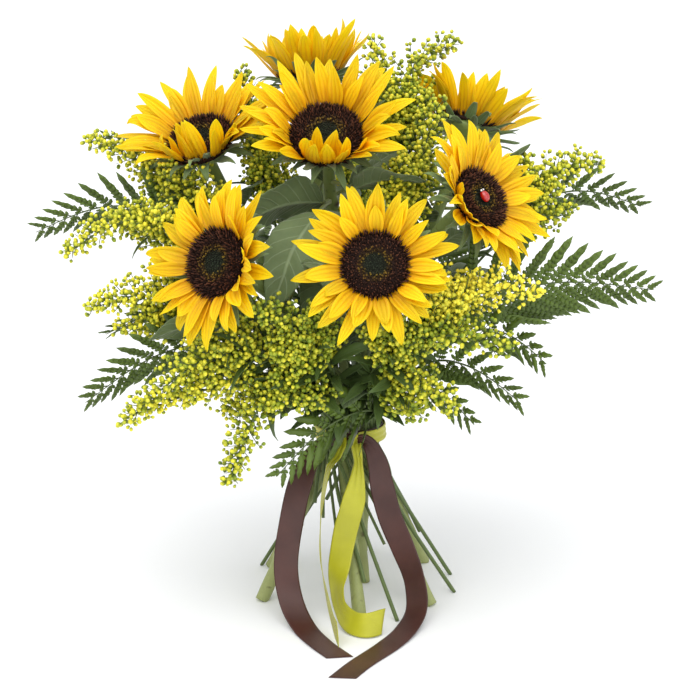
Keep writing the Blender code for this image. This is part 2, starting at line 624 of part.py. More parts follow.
def ribbon_cloud():
    spots = []
    for path in (BROWN_PATH, LIME_PATH):
        points, face, wide = ribbon_lines(path)
        w = across(points, (1.0, 0.0, 0.0))
        t = tangents_of(points)
        w = np.cross(face, t)
        w = w / np.linalg.norm(w, axis=1)[:, None]
        for share in (-0.8, 0.0, 0.8):
            spots.append(points + w * (RIBBON_WIDTH / 2 * wide * share)[:, None])
    return np.concatenate(spots)


RIBBON_KEEP_CLEAR = ribbon_cloud()

# ---- build ----
stem_look = material("sunflower_stem", STEM_GREEN, 0.55)
disc_look = material("sunflower_disc", DISC_BROWN, 0.85)
petal_look = material("sunflower_petal", YELLOW, 0.5)
leaf_look = material("sunflower_leaf", LEAF_GREEN, 0.6)
spray_look = material("goldenrod", SPRAY_YELLOW, 0.6)
fern_look = material("leatherleaf_fern", FERN_GREEN, 0.45)
brown_look = material("brown_satin", BROWN_SATIN, 0.35)
lime_look = material("lime_satin", LIME_SATIN, 0.35)
shell_look = material("ladybird_red", LADYBIRD_RED, 0.15)

strands = make_strands()
settle(strands)

for strand in strands:
    count = len(strand.points)
    w = across(strand.points, strand.hint)
    if strand.owner:
        head = HEADS[strand.owner]
        at = np.array(head["at"])
        e1, e2, n = head_frame(head)
        above = int(np.argmax(strand.points[:, 2] > TIE_HEIGHT))
        keep = [i for i in thin_out(count, 2) if i == 0 or i >= above]
        keep = [0, above // 3, 2 * above // 3] + [i for i in keep if i > 0]
        keep = [i for i in keep if i == 0 or i < count - 1]
        points = strand.points[keep]
        t = tangents_of(points)
        rings = []
        side = np.cross(t[0], (0.0, 0.0, 1.0)) if abs(t[0][2]) < 0.99 else np.array((1.0, 0, 0))
        side = unit(side)
        for i, p in enumerate(points):
            side = unit(side - t[i] * (side @ t[i]))
            other = np.cross(t[i], side)
            ring = section(8, p, side, other, STEM_RADIUS, STEM_RADIUS)
            if i == 0:
                ring = [q - t[i] * (q[2] / t[i][2]) for q in ring]
            rings.append(ring)
        side = unit(side - n * (side @ n))
        other = np.cross(n, side)
        for share, height in CUP_PROFILE:
            radius = max(STEM_RADIUS, share * head["disc"])
            rings.append(section(8, at + n * height, side, other, radius, radius))
        closed_object(strand.name, rings, True, stem_look)
        continue
    if strand.name in LEAVES:
        keep = thin_out(count, 2)
        sides, look = 6, leaf_look
    elif strand.name in FERNS:
        wide = [i for i in range(count) if strand.half_w[i] > 0.003]
        close = [i for i in range(count) if abs(strand.points[i][2] - TIE_HEIGHT) < 0.055]
        keep = sorted(set(thin_out(count, 3)) | set(wide[::2]) | set(close[::2]) | {count - 2})
        sides, look = 6, fern_look
    else:
        wide = [i for i in range(count) if strand.half_w[i] > 0.003]
        close = [i for i in range(count) if abs(strand.points[i][2] - TIE_HEIGHT) < 0.055]
        keep = sorted(set(thin_out(count, 3)) | set(wide[::2]) | set(close[::2]))
        sides, look = 6, spray_look
    sweep(strand.name, strand.points[keep], w[keep], strand.half_w[keep], strand.half_t[keep],
          sides, look, level_start=abs(strand.points[0][2]) < 1e-6)

for name, head in HEADS.items():
    frame = head_frame(head)
    at = np.array(head["at"])
    lathe(name + "_disc", DISC_PROFILE, at, frame, 16, disc_look, head["disc"])
    closed_object(name + "_petals", petal_rings(head), False, petal_look)

ribbon("brown_ribbon", BROWN_PATH, brown_look)
ribbon("lime_ribbon", LIME_PATH, lime_look)

# the ladybird sits on the disc of flower 5, head end towards the top left petals
perch = HEADS["sunflower_5"]
e1, e2, n = head_frame(perch)
body_at = np.array(perch["at"]) + n * 0.0039
ahead = unit(e2 * 0.9 - e1 * 0.35)
beside = np.cross(n, ahead)
rings = []
for share in (-0.96, -0.72, -0.30, 0.18, 0.60, 0.94):
    round_off = math.sqrt(1 - share * share)
    ring = []
    for k in range(10):
        a = 2 * math.pi * k / 10
        up = math.sin(a) * 0.0034 * round_off
        ring.append(body_at + ahead * (0.0050 * share) + beside * (0.0037 * round_off * math.cos(a))
                    + n * (up if up > 0 else up * 0.25))
    rings.append(ring)
closed_object("ladybird", rings, True, shell_look)
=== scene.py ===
"""Looks of the hand-tied sunflower bouquet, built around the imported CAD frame.

Flower heads get their separate petals, florets and bracts; stems, leaves, goldenrod and fern are
grown along the CAD solids they stand for; the two satin ribbons are sheets of cloth.
"""

import math

import bpy
import numpy as np
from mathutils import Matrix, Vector


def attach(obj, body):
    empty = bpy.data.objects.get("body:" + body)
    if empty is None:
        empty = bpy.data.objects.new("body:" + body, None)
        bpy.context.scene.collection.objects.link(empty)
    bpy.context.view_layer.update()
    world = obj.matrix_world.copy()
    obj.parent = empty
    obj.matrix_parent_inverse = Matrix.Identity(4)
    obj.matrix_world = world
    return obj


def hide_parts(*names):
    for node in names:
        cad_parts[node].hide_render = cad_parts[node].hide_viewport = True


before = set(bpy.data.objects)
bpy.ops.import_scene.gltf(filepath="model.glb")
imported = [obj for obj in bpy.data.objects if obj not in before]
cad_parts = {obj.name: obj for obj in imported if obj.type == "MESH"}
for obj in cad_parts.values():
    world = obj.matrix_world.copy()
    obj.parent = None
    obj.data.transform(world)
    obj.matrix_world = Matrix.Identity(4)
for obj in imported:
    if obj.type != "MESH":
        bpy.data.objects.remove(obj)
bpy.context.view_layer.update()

GOLDEN_ANGLE = 2.399963
UP = np.array((0.0, 0.0, 1.0))

# ------------------------------------------------------------------ small helpers


def unit(v):
    v = np.asarray(v, float)
    return v / np.maximum(np.linalg.norm(v, axis=-1, keepdims=True), 1e-12)


def ease(x):
    x = np.clip(x, 0.0, 1.0)
    return x * x * (3 - 2 * x)


def square_to(v, axis):
    """v with its part along axis taken away, made a unit vector."""
    v = np.asarray(v, float)
    return unit(v - (v * axis).sum(axis=-1, keepdims=True) * axis)


def turned(v, axis, angle):
    """v turned about a unit axis."""
    c, s = np.cos(angle), np.sin(angle)
    if np.ndim(angle):
        c, s = c[:, None], s[:, None]
    dot = (v * axis).sum(axis=-1, keepdims=True)
    return v * c + np.cross(axis, v) * s + axis * dot * (1 - c)


def hermite(a, da, b, db, count):
    t = np.linspace(0.0, 1.0, count)[:, None]
    return ((2 * t**3 - 3 * t**2 + 1) * a + (t**3 - 2 * t**2 + t) * da
            + (-2 * t**3 + 3 * t**2) * b + (t**3 - t**2) * db)


def through(points, count=12):
    """A smooth curve through the points."""
    points = np.asarray(points, float)
    n = len(points)
    tangents = [unit(points[min(i + 1, n - 1)] - points[max(i - 1, 0)]) for i in range(n)]
    pieces = []
    for i in range(n - 1):
        d = float(np.linalg.norm(points[i + 1] - points[i]))
        pieces.append(hermite(points[i], tangents[i] * d, points[i + 1], tangents[i + 1] * d, count)[:-1])
    pieces.append(points[-1][None])
    return np.concatenate(pieces)


def lengths_along(points):
    return np.concatenate(([0.0], np.cumsum(np.linalg.norm(np.diff(points, axis=0), axis=1))))


def spread(at, known_at, values):
    """Values known at some lengths, read at others."""
    values = np.asarray(values, float)
    if values.ndim == 1:
        return np.interp(at, known_at, values)
    return np.stack([np.interp(at, known_at, values[:, k]) for k in range(values.shape[1])], axis=1)


def tangents_of(points):
    t = np.empty_like(points)
    t[1:-1] = points[2:] - points[:-2]
    t[0] = points[1] - points[0]
    t[-1] = points[-1] - points[-2]
    return unit(t)


# ------------------------------------------------------------------ reading the CAD frame


def corners_of(name):
    """The welded corner points of a CAD node and the corner pairs its faces join."""
    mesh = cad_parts[name].data
    points = np.empty(len(mesh.vertices) * 3)
    mesh.vertices.foreach_get("co", points)
    spots, index = np.unique(np.round(points.reshape(-1, 3), 6), axis=0, return_inverse=True)
    index = index.ravel()
    pairs = set()
    for face in mesh.polygons:
        a = [int(index[v]) for v in face.vertices]
        for i in range(len(a)):
            if a[i] != a[i - 1]:
                pairs.add((a[i], a[i - 1]))
                pairs.add((a[i - 1], a[i]))
    near = {}
    for a, b in pairs:
        near.setdefault(a, set()).add(b)
    return spots, near


def rings_of(name, first, reach):
    """Rings of a swept CAD solid from the end nearest to the corner first, walked edge by edge."""
    spots, near = corners_of(name)
    begin = spots[first(spots)]
    layer = set(np.nonzero(np.linalg.norm(spots - begin, axis=1) < reach)[0].tolist())
    seen = set(layer)
    rings = []
    while layer:
        rings.append(spots[sorted(layer)])
        ahead = set()
        for v in layer:
            ahead |= near[v]
        layer = ahead - seen
        seen |= layer
    return rings


def true_rings(rings):
    """Leaves out layers that caught corners of two sections: those reach along the run, not across."""
    middles = [ring.mean(axis=0) for ring in rings]
    kept = [rings[0]]
    for i in range(1, len(rings) - 1):
        run = unit(middles[i + 1] - middles[i - 1])
        off = rings[i] - middles[i]
        if len(off) > 4 and np.abs(off @ run).max() < 0.55 * np.linalg.norm(off, axis=1).max():
            kept.append(rings[i])
    return kept + [rings[-1]]


class Run:
    """The middle line of a swept CAD solid, with the way across it and its half width."""

    def __init__(self, name, reach, first=lambda s: int(s[:, 2].argmin()), step=0.003):
        rings = true_rings(rings_of(name, first, reach))
        middles = np.array([r.mean(axis=0) for r in rings])
        t = tangents_of(middles)
        ways, halves = [], []
        way = None
        for ring, run in zip(rings, t):
            gaps = np.linalg.norm(ring[:, None] - ring[None], axis=2)
            i, j = np.unravel_index(gaps.argmax(), gaps.shape)
            wide = ring[i] - ring[j]
            halves.append(float(np.linalg.norm(ring - ring.mean(axis=0), axis=1).max()))
            if way is not None and wide @ way < 0:
                wide = -wide
            flat = np.sort(np.linalg.norm(ring - ring.mean(axis=0), axis=1))
            round_ring = len(ring) < 4 or flat[0] > 0.7 * flat[-1]
            way = square_to(way if (round_ring and way is not None) else wide, run)
            ways.append(way)
        # the flat part of the blade tells which way is across; carry that back down the stem
        widest = int(np.argmax(halves))
        for i in range(widest - 1, -1, -1):
            ways[i] = square_to(ways[i + 1], t[i])
        fine = through(middles, 10)
        along = lengths_along(fine)
        marks = along[::9][:len(middles)]
        self.length = float(along[-1])
        count = max(8, int(round(self.length / step)) + 1)
        self.s = np.linspace(0.0, self.length, count)
        self.points = spread(self.s, along, fine)
        self.tangent = tangents_of(self.points)
        self.across = square_to(spread(self.s, marks, np.array(ways)), self.tangent)
        self.normal = np.cross(self.tangent, self.across)
        self.half = spread(self.s, marks, np.array(halves))

    def at(self, s):
        """Point, run, across and normal at a length or at an array of lengths."""
        s = np.atleast_1d(np.asarray(s, float))
        p = spread(s, self.s, self.points)
        t = unit(spread(s, self.s, self.tangent))
        a = square_to(spread(s, self.s, self.across), t)
        return p, t, a, np.cross(t, a)

    def above(self, height):
        """The length at which the run first rises past a height."""
        return float(self.s[int(np.argmax(self.points[:, 2] > height))])

    def first_wider(self, width):
        narrow = np.nonzero(self.half[:int(self.half[10:].argmax()) + 10] < width)[0]
        return float(self.s[narrow[-1]]) if len(narrow) else self.length * 0.7


class Head:
    """One flower head read from its CAD disc and petal ring."""

    def __init__(self, number):
        self.name = f"sunflower_{number}"
        spots, _ = corners_of(self.name + "_disc")
        middle = spots.mean(axis=0)
        vectors = np.linalg.eigh(np.cov((spots - middle).T))[1]
        n = vectors[:, 0]
        stem, _ = corners_of(self.name + "_stem")
        if n @ (middle - stem[stem[:, 2].argmin()]) < 0:
            n = -n
        high = (spots - middle) @ n
        flat = spots - middle - np.outer(high, n)
        self.radius = float(np.linalg.norm(flat, axis=1).max())
        self.at = middle + n * (high.min() + 0.0062)
        self.n = n
        self.e2 = square_to(np.array((0.0, 0.3, 0.95)), n)
        self.e1 = np.cross(self.e2, n)
        cup, _ = corners_of(self.name + "_petals")
        local = cup - self.at
        x, y, z = local @ self.e1, local @ self.e2, local @ n
        r = np.hypot(x, y)
        reach = np.hypot(r - self.radius - 0.0007, z + 0.0036)
        tips = reach > 0.93 * reach.max()
        order = np.argsort(np.arctan2(y[tips], x[tips]))
        self.tip_angle = np.arctan2(y[tips], x[tips])[order]
        self.tip_cup = np.arctan2(z[tips] + 0.0036, r[tips] - self.radius - 0.0007)[order]
        self.reach = float(reach.max())

    def cup_at(self, angle):
        return np.interp(angle, self.tip_angle, self.tip_cup, period=2 * math.pi)

    def out(self, angle):
        return self.e1 * math.cos(angle) + self.e2 * math.sin(angle)


# ------------------------------------------------------------------ gathering meshes


class Gathering:
    """Points and faces of many shapes, gathered into one mesh with three values per point."""

    def __init__(self):
        self.points, self.loops, self.sizes = [], [], []
        self.values = {"along": [], "across": [], "tint": []}
        self.count = 0

    def add(self, points, loops, sizes, along, across, tint):
        n = len(points)
        self.points.append(points)
        self.loops.append(np.asarray(loops) + self.count)
        self.sizes.append(np.asarray(sizes))
        for key, value in (("along", along), ("across", across), ("tint", tint)):
            self.values[key].append(np.broadcast_to(np.asarray(value, float), (n,)))
        self.count += n

    def sheet(self, grid, along, across, tint):
        """An open grid of points, rows by columns."""
        rows, columns = grid.shape[:2]
        i = np.arange(rows - 1)[:, None] * columns + np.arange(columns - 1)[None]
        quads = np.stack([i, i + 1, i + columns + 1, i + columns], axis=-1).reshape(-1)
        self.add(grid.reshape(-1, 3), quads, np.full(len(quads) // 4, 4),
                 np.broadcast_to(along, (rows, columns)).reshape(-1),
                 np.broadcast_to(across, (rows, columns)).reshape(-1), tint)

    def tube(self, points, radii, sides, tint, across=None, start_cap=0.0, along=None):
        """A round stem along the points, closed at both ends."""
        t = tangents_of(points)
        side = np.empty_like(points)
        way = np.array((1.0, 0.13, 0.0)) if across is None else across
        for i in range(len(points)):
            way = square_to(way, t[i])
            side[i] = way
        other = np.cross(t, side)
        a = np.arange(sides) * 2 * math.pi / sides
        radii = np.asarray(radii, float)
        if radii.ndim == 1:
            radii = radii[:, None]
        body = (points[:, None] + side[:, None] * (radii * np.cos(a))[..., None]
                + other[:, None] * (radii * np.sin(a))[..., None])
        n = len(points)
        i = (np.arange(n - 1)[:, None] * sides + np.arange(sides)[None])
        j = (np.arange(n - 1)[:, None] * sides + (np.arange(sides)[None] + 1) % sides)
        quads = np.stack([i, j, j + sides, i + sides], axis=-1).reshape(-1)
        k = np.arange(sides)
        low, high = n * sides, n * sides + 1
        caps = np.concatenate((np.stack([np.full(sides, low), (k + 1) % sides, k], axis=-1).reshape(-1),
                               np.stack([np.full(sides, high), (n - 1) * sides + k,
                                         (n - 1) * sides + (k + 1) % sides], axis=-1).reshape(-1)))
        all_points = np.concatenate((body.reshape(-1, 3), points[:1] - t[:1] * start_cap, points[-1:]))
        share = np.linspace(0, 1, n) if along is None else along
        along_values = np.concatenate((np.repeat(share, sides), [share[0], share[-1]]))
        around = np.concatenate((np.tile(k / sides, n), [0.0, 0.0]))
        self.add(all_points, np.concatenate((quads, caps)),
                 np.concatenate((np.full(len(quads) // 4, 4), np.full(2 * sides, 3))),
                 along_values, around, tint)

    def scatter(self, shape, at, x, y, z, size, tint):
        """Copies of a modelled shape: its axes laid on x, y and z, its size given per copy or axis."""
        points, loops, sizes, along = shape
        count, n = len(at), len(points)
        size = np.asarray(size, float)
        if size.ndim == 1:
            size = np.repeat(size[:, None], 3, axis=1)
        placed = (at[:, None]
                  + x[:, None] * (points[None, :, 0] * size[:, None, 0])[..., None]
                  + y[:, None] * (points[None, :, 1] * size[:, None, 1])[..., None]
                  + z[:, None] * (points[None, :, 2] * size[:, None, 2])[..., None])
        all_loops = (loops[None] + (np.arange(count) * n)[:, None]).reshape(-1)
        self.add(placed.reshape(-1, 3), all_loops, np.tile(sizes, count), np.tile(along, count),
                 0.0, np.repeat(np.asarray(tint, float), n))

    def build(self, name):
        mesh = bpy.data.meshes.new(name)
        points = np.concatenate(self.points).astype(np.float32)
        points[:, 2] = np.maximum(points[:, 2], 0.0)      # nothing goes below the floor it stands on
        loops = np.concatenate(self.loops).astype(np.int32)
        sizes = np.concatenate(self.sizes).astype(np.int32)
        mesh.vertices.add(len(points))
        mesh.vertices.foreach_set("co", points.ravel())
        mesh.loops.add(len(loops))
        mesh.loops.foreach_set("vertex_index", loops)
        mesh.polygons.add(len(sizes))
        starts = np.concatenate(([0], np.cumsum(sizes)[:-1])).astype(np.int32)
        mesh.polygons.foreach_set("loop_start", starts)
        mesh.update(calc_edges=True)
        mesh.polygons.foreach_set("use_smooth", np.ones(len(sizes), bool))
        for key, rows in self.values.items():
            layer = mesh.attributes.new(key, "FLOAT", "POINT")
            layer.data.foreach_set("value", np.concatenate(rows).astype(np.float32))
        ob = bpy.data.objects.new(name, mesh)
        bpy.context.scene.collection.objects.link(ob)
        return ob


def only(ob):
    """Leaves one object selected and active."""
    bpy.ops.object.select_all(action="DESELECT")
    ob.select_set(True)
    bpy.context.view_layer.objects.active = ob


def thicken(ob, thickness, offset=0.0):
    """Gives a leaf or petal its two sides."""
    only(ob)
    wall = ob.modifiers.new("wall", "SOLIDIFY")
    wall.thickness = thickness
    wall.offset = offset
    wall.use_even_offset = False
    bpy.ops.object.modifier_apply(modifier=wall.name)


def place(ob, material, nodes):
    ob.data.materials.clear()
    ob.data.materials.append(material)
    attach(ob, "root")
    if nodes:
        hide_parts(*nodes)
    return ob


# ------------------------------------------------------------------ shapes modelled once


def shape_from(ob):
    """The points, faces and height shares of a modelled shape; the shape itself is put away."""
    mesh = ob.data
    points = np.array([v.co for v in mesh.vertices])
    loops = np.array([v for p in mesh.polygons for v in p.vertices])
    sizes = np.array([len(p.vertices) for p in mesh.polygons])
    z = points[:, 2]
    along = (z - z.min()) / max(float(z.max() - z.min()), 1e-9)
    bpy.data.objects.remove(ob, do_unlink=True)
    return points, loops, sizes, along


def edit(ob):
    only(ob)
    bpy.ops.object.mode_set(mode="EDIT")
    bpy.ops.mesh.select_all(action="DESELECT")
    bpy.ops.object.mode_set(mode="OBJECT")


def pick_points(ob, test):
    """Selects the points that pass the test and opens edit mode on them."""
    edit(ob)
    bpy.ops.object.mode_set(mode="OBJECT")
    for v in ob.data.vertices:
        v.select = bool(test(v.co))
    for e in ob.data.edges:
        e.select = all(ob.data.vertices[v].select for v in e.vertices)
    for p in ob.data.polygons:
        p.select = all(ob.data.vertices[v].select for v in p.vertices)
    bpy.ops.object.mode_set(mode="EDIT")


def model_bud():
    """A goldenrod bud one unit long: a round berry-like bud drawn in to a narrow foot."""
    bpy.ops.object.select_all(action="DESELECT")
    bpy.ops.mesh.primitive_uv_sphere_add(segments=6, ring_count=4, radius=0.5, location=(0, 0, 0.5))
    ob = bpy.context.object
    bpy.ops.object.transform_apply(location=True, rotation=False, scale=False)
    pick_points(ob, lambda c: c.z < 0.3)
    bpy.ops.transform.resize(value=(0.70, 0.70, 1.0), center_override=(0, 0, 0))
    bpy.ops.mesh.select_all(action="SELECT")
    bpy.ops.transform.resize(value=(0.80, 0.80, 1.0), center_override=(0, 0, 0))
    bpy.ops.object.mode_set(mode="OBJECT")
    return shape_from(ob)


def model_star():
    """An open goldenrod flower one unit across: short rays round a raised middle."""
    bpy.ops.object.select_all(action="DESELECT")
    bpy.ops.mesh.primitive_cylinder_add(vertices=12, radius=0.20, depth=0.5, location=(0, 0, 0.25))
    ob = bpy.context.object
    pick_points(ob, lambda c: c.z < 0.1)
    bpy.ops.transform.resize(value=(0.45, 0.45, 1.0))
    bpy.ops.object.mode_set(mode="OBJECT")
    for k in range(12):
        a = 2 * math.pi * k / 12
        if k % 2 == 0:
            here = math.atan2(math.sin(a), math.cos(a))
            pick_points(ob, lambda c: c.z > 0.4 and abs(math.atan2(c.x, c.y) - here) < 0.1)
            bpy.ops.transform.resize(value=(2.7, 2.7, 1.0), center_override=(0, 0, 0.5))
            bpy.ops.transform.translate(value=(0, 0, 0.16))
            bpy.ops.object.mode_set(mode="OBJECT")
    return shape_from(ob)


def model_floret():
    """An open disc floret one unit tall: a slim tube that ends in a small cup of points."""
    bpy.ops.object.select_all(action="DESELECT")
    bpy.ops.mesh.primitive_cone_add(vertices=5, radius1=0.17, radius2=0.10, depth=0.72, location=(0, 0, 0.36))
    ob = bpy.context.object
    bpy.ops.object.transform_apply(location=True, rotation=False, scale=False)
    pick_points(ob, lambda c: c.z > 0.7)
    bpy.ops.mesh.extrude_region_move(TRANSFORM_OT_translate={"value": (0, 0, 0.28)})
    bpy.ops.transform.resize(value=(2.0, 2.0, 1.0), center_override=(0, 0, 1))
    bpy.ops.mesh.inset(thickness=0.08, depth=-0.16)
    bpy.ops.object.mode_set(mode="OBJECT")
    return shape_from(ob)


def model_spike():
    """A chaffy spike of the disc's outer part, one unit tall: a slim blade drawn out to a point."""
    bpy.ops.object.select_all(action="DESELECT")
    bpy.ops.mesh.primitive_cone_add(vertices=4, radius1=0.13, radius2=0.02, depth=1.0, location=(0, 0, 0.5))
    ob = bpy.context.object
    bpy.ops.object.transform_apply(location=True, rotation=False, scale=False)
    only(ob)
    bpy.ops.object.mode_set(mode="EDIT")
    bpy.ops.mesh.select_all(action="SELECT")
    bpy.ops.mesh.bisect(plane_co=(0, 0, 0.55), plane_no=(0, 0, 1))
    bpy.ops.transform.resize(value=(1.7, 1.7, 1.0), center_override=(0, 0, 0))
    bpy.ops.object.mode_set(mode="OBJECT")
    return shape_from(ob)


def model_leaflet():
    """A fern leaflet one unit long along X and one wide, toothed, thicker along its rib."""
    bpy.ops.object.select_all(action="DESELECT")
    bpy.ops.mesh.primitive_circle_add(vertices=12, radius=0.5, fill_type="NGON", location=(0.5, 0, 0))
    ob = bpy.context.object
    bpy.ops.object.transform_apply(location=True, rotation=False, scale=False)
    outline = ((0.0, 0.08), (0.18, 0.46), (0.30, 0.36), (0.48, 0.50), (0.60, 0.33), (0.78, 0.34), (1.0, 0.0))
    ring = [(x, y) for x, y in outline] + [(x, -y) for x, y in reversed(outline[:-1])]
    ring = ring[:12]
    for v, (x, y) in zip(ob.data.vertices, ring):
        v.co = (x, y, 0.0)
    only(ob)
    bpy.ops.object.mode_set(mode="EDIT")
    bpy.ops.mesh.select_all(action="SELECT")
    bpy.ops.mesh.poke(offset=0.05)
    bpy.ops.object.mode_set(mode="OBJECT")
    wall = ob.modifiers.new("wall", "SOLIDIFY")
    wall.thickness = 0.04
    bpy.ops.object.modifier_apply(modifier=wall.name)
    points, loops, sizes, _ = shape_from(ob)
    return points, loops, sizes, np.clip(points[:, 0], 0, 1)


# ------------------------------------------------------------------ materials


def new_material(name):
    m = bpy.data.materials.new(name)
    m.use_nodes = True
    return m, m.node_tree, m.node_tree.nodes["Principled BSDF"]


def node(tree, kind, **settings):
    n = tree.nodes.new(kind)
    for key, value in settings.items():
        setattr(n, key, value)
    return n


def ramp(tree, stops, source):
    r = node(tree, "ShaderNodeValToRGB")
    while len(r.color_ramp.elements) > len(stops):
        r.color_ramp.elements.remove(r.color_ramp.elements[-1])
    while len(r.color_ramp.elements) < len(stops):
        r.color_ramp.elements.new(0.5)
    for element, (spot, colour) in zip(r.color_ramp.elements, stops):
        element.position = spot
        element.color = (*colour, 1.0)
    tree.links.new(source, r.inputs["Fac"])
    return r.outputs["Color"]


def value_of(tree, name):
    return node(tree, "ShaderNodeAttribute", attribute_name=name).outputs["Fac"]


def mottle_group():
    """Cloudy light and dark over a colour, and a fine grain height, both in object space."""
    g = bpy.data.node_groups.new("plant_mottle", "ShaderNodeTree")
    g.interface.new_socket("Color", in_out="INPUT", socket_type="NodeSocketColor")
    for name, value in (("Scale", 60.0), ("Amount", 0.3), ("Tint", 0.5), ("Tint Amount", 0.3)):
        s = g.interface.new_socket(name, in_out="INPUT", socket_type="NodeSocketFloat")
        s.default_value = value
    g.interface.new_socket("Color", in_out="OUTPUT", socket_type="NodeSocketColor")
    g.interface.new_socket("Grain", in_out="OUTPUT", socket_type="NodeSocketFloat")
    inp, out = g.nodes.new("NodeGroupInput"), g.nodes.new("NodeGroupOutput")
    coords = node(g, "ShaderNodeTexCoord")
    noise = node(g, "ShaderNodeTexNoise")
    noise.inputs["Detail"].default_value = 4.0
    g.links.new(coords.outputs["Object"], noise.inputs["Vector"])
    g.links.new(inp.outputs["Scale"], noise.inputs["Scale"])
    # (noise - 0.5) * amount + (tint - 0.5) * tint amount + 1
    a = node(g, "ShaderNodeMath", operation="SUBTRACT")
    g.links.new(noise.outputs["Fac"], a.inputs[0])
    a.inputs[1].default_value = 0.5
    b = node(g, "ShaderNodeMath", operation="MULTIPLY")
    g.links.new(a.outputs[0], b.inputs[0])
    g.links.new(inp.outputs["Amount"], b.inputs[1])
    c = node(g, "ShaderNodeMath", operation="SUBTRACT")
    g.links.new(inp.outputs["Tint"], c.inputs[0])
    c.inputs[1].default_value = 0.5
    d = node(g, "ShaderNodeMath", operation="MULTIPLY_ADD")
    g.links.new(c.outputs[0], d.inputs[0])
    g.links.new(inp.outputs["Tint Amount"], d.inputs[1])
    d.inputs[2].default_value = 1.0
    e = node(g, "ShaderNodeMath", operation="ADD")
    g.links.new(b.outputs[0], e.inputs[0])
    g.links.new(d.outputs[0], e.inputs[1])
    mix = node(g, "ShaderNodeVectorMath", operation="SCALE")
    g.links.new(inp.outputs["Color"], mix.inputs[0])
    g.links.new(e.outputs[0], mix.inputs["Scale"])
    g.links.new(mix.outputs["Vector"], out.inputs["Color"])
    fine = node(g, "ShaderNodeTexNoise")
    fine.inputs["Scale"].default_value = 900.0
    fine.inputs["Detail"].default_value = 2.0
    g.links.new(coords.outputs["Object"], fine.inputs["Vector"])
    g.links.new(fine.outputs["Fac"], out.inputs["Grain"])
    return g


def rib_group():
    """Lengthwise ribs from the across value: 1 on a rib, 0 in a groove."""
    g = bpy.data.node_groups.new("lengthwise_ribs", "ShaderNodeTree")
    for name, value in (("Across", 0.0), ("Count", 4.0), ("Sharpness", 2.0)):
        s = g.interface.new_socket(name, in_out="INPUT", socket_type="NodeSocketFloat")
        s.default_value = value
    g.interface.new_socket("Rib", in_out="OUTPUT", socket_type="NodeSocketFloat")
    inp, out = g.nodes.new("NodeGroupInput"), g.nodes.new("NodeGroupOutput")
    turn = node(g, "ShaderNodeMath", operation="MULTIPLY")
    g.links.new(inp.outputs["Across"], turn.inputs[0])
    g.links.new(inp.outputs["Count"], turn.inputs[1])
    wave = node(g, "ShaderNodeMath", operation="COSINE")
    g.links.new(turn.outputs[0], wave.inputs[0])
    half = node(g, "ShaderNodeMath", operation="MULTIPLY_ADD")
    g.links.new(wave.outputs[0], half.inputs[0])
    half.inputs[1].default_value = 0.5
    half.inputs[2].default_value = 0.5
    power = node(g, "ShaderNodeMath", operation="POWER")
    g.links.new(half.outputs[0], power.inputs[0])
    g.links.new(inp.outputs["Sharpness"], power.inputs[1])
    g.links.new(power.outputs[0], out.inputs["Rib"])
    return g


MOTTLE = mottle_group()
RIBS = rib_group()


def feed(tree, value, socket):
    """Links an output to a socket, or sets a colour or a number on it."""
    if hasattr(value, "links"):
        tree.links.new(value, socket)
    elif isinstance(value, (tuple, list)):
        socket.default_value = (*value, 1.0)
    else:
        socket.default_value = value


def use(tree, group, **inputs):
    n = node(tree, "ShaderNodeGroup", node_tree=group)
    for key, value in inputs.items():
        feed(tree, value, n.inputs[key.replace("_", " ")])
    return n


def blend_colour(tree, share, a, b):
    n = node(tree, "ShaderNodeMix", data_type="RGBA")
    for value, socket in ((share, n.inputs[0]), (a, n.inputs[6]), (b, n.inputs[7])):
        feed(tree, value, socket)
    return n.outputs[2]


def times(tree, a, b):
    n = node(tree, "ShaderNodeMath", operation="MULTIPLY")
    for value, socket in ((a, n.inputs[0]), (b, n.inputs[1])):
        feed(tree, value, socket)
    return n.outputs[0]


def bump(tree, shader, height, distance, strength=1.0):
    n = node(tree, "ShaderNodeBump")
    n.inputs["Distance"].default_value = distance
    n.inputs["Strength"].default_value = strength
    tree.links.new(height, n.inputs["Height"])
    tree.links.new(n.outputs["Normal"], shader.inputs["Normal"])


def petal_material():
    m, t, s = new_material("golden_petal")
    along, across, tint = value_of(t, "along"), value_of(t, "across"), value_of(t, "tint")
    # painted shade: each petal's colour darkens to deep orange towards its foot, where it meets the disc
    body = ramp(t, [(0.0, (0.64, 0.22, 0.001)), (0.20, (0.84, 0.37, 0.002)),
                    (0.50, (0.94, 0.51, 0.002)), (1.0, (0.96, 0.62, 0.006))], along)
    ribs = use(t, RIBS, Across=across, Count=11.0, Sharpness=3.0).outputs["Rib"]
    fade = ramp(t, [(0.0, (0.85,) * 3), (0.45, (0.5,) * 3), (0.9, (0.1,) * 3)], along)
    lined = blend_colour(t, times(t, ribs, times(t, fade, 0.75)), body, (0.62, 0.20, 0.001))
    mottled = use(t, MOTTLE, Color=lined, Scale=90.0, Amount=0.22, Tint=tint, Tint_Amount=0.30)
    t.links.new(mottled.outputs["Color"], s.inputs["Base Color"])
    s.inputs["Roughness"].default_value = 0.52
    s.inputs["Specular IOR Level"].default_value = 0.20
    s.inputs["Subsurface Weight"].default_value = 0.40
    s.inputs["Subsurface Radius"].default_value = (1.0, 0.55, 0.10)
    s.inputs["Subsurface Scale"].default_value = 0.005
    bump(t, s, ribs, 0.0006, 0.6)
    return m


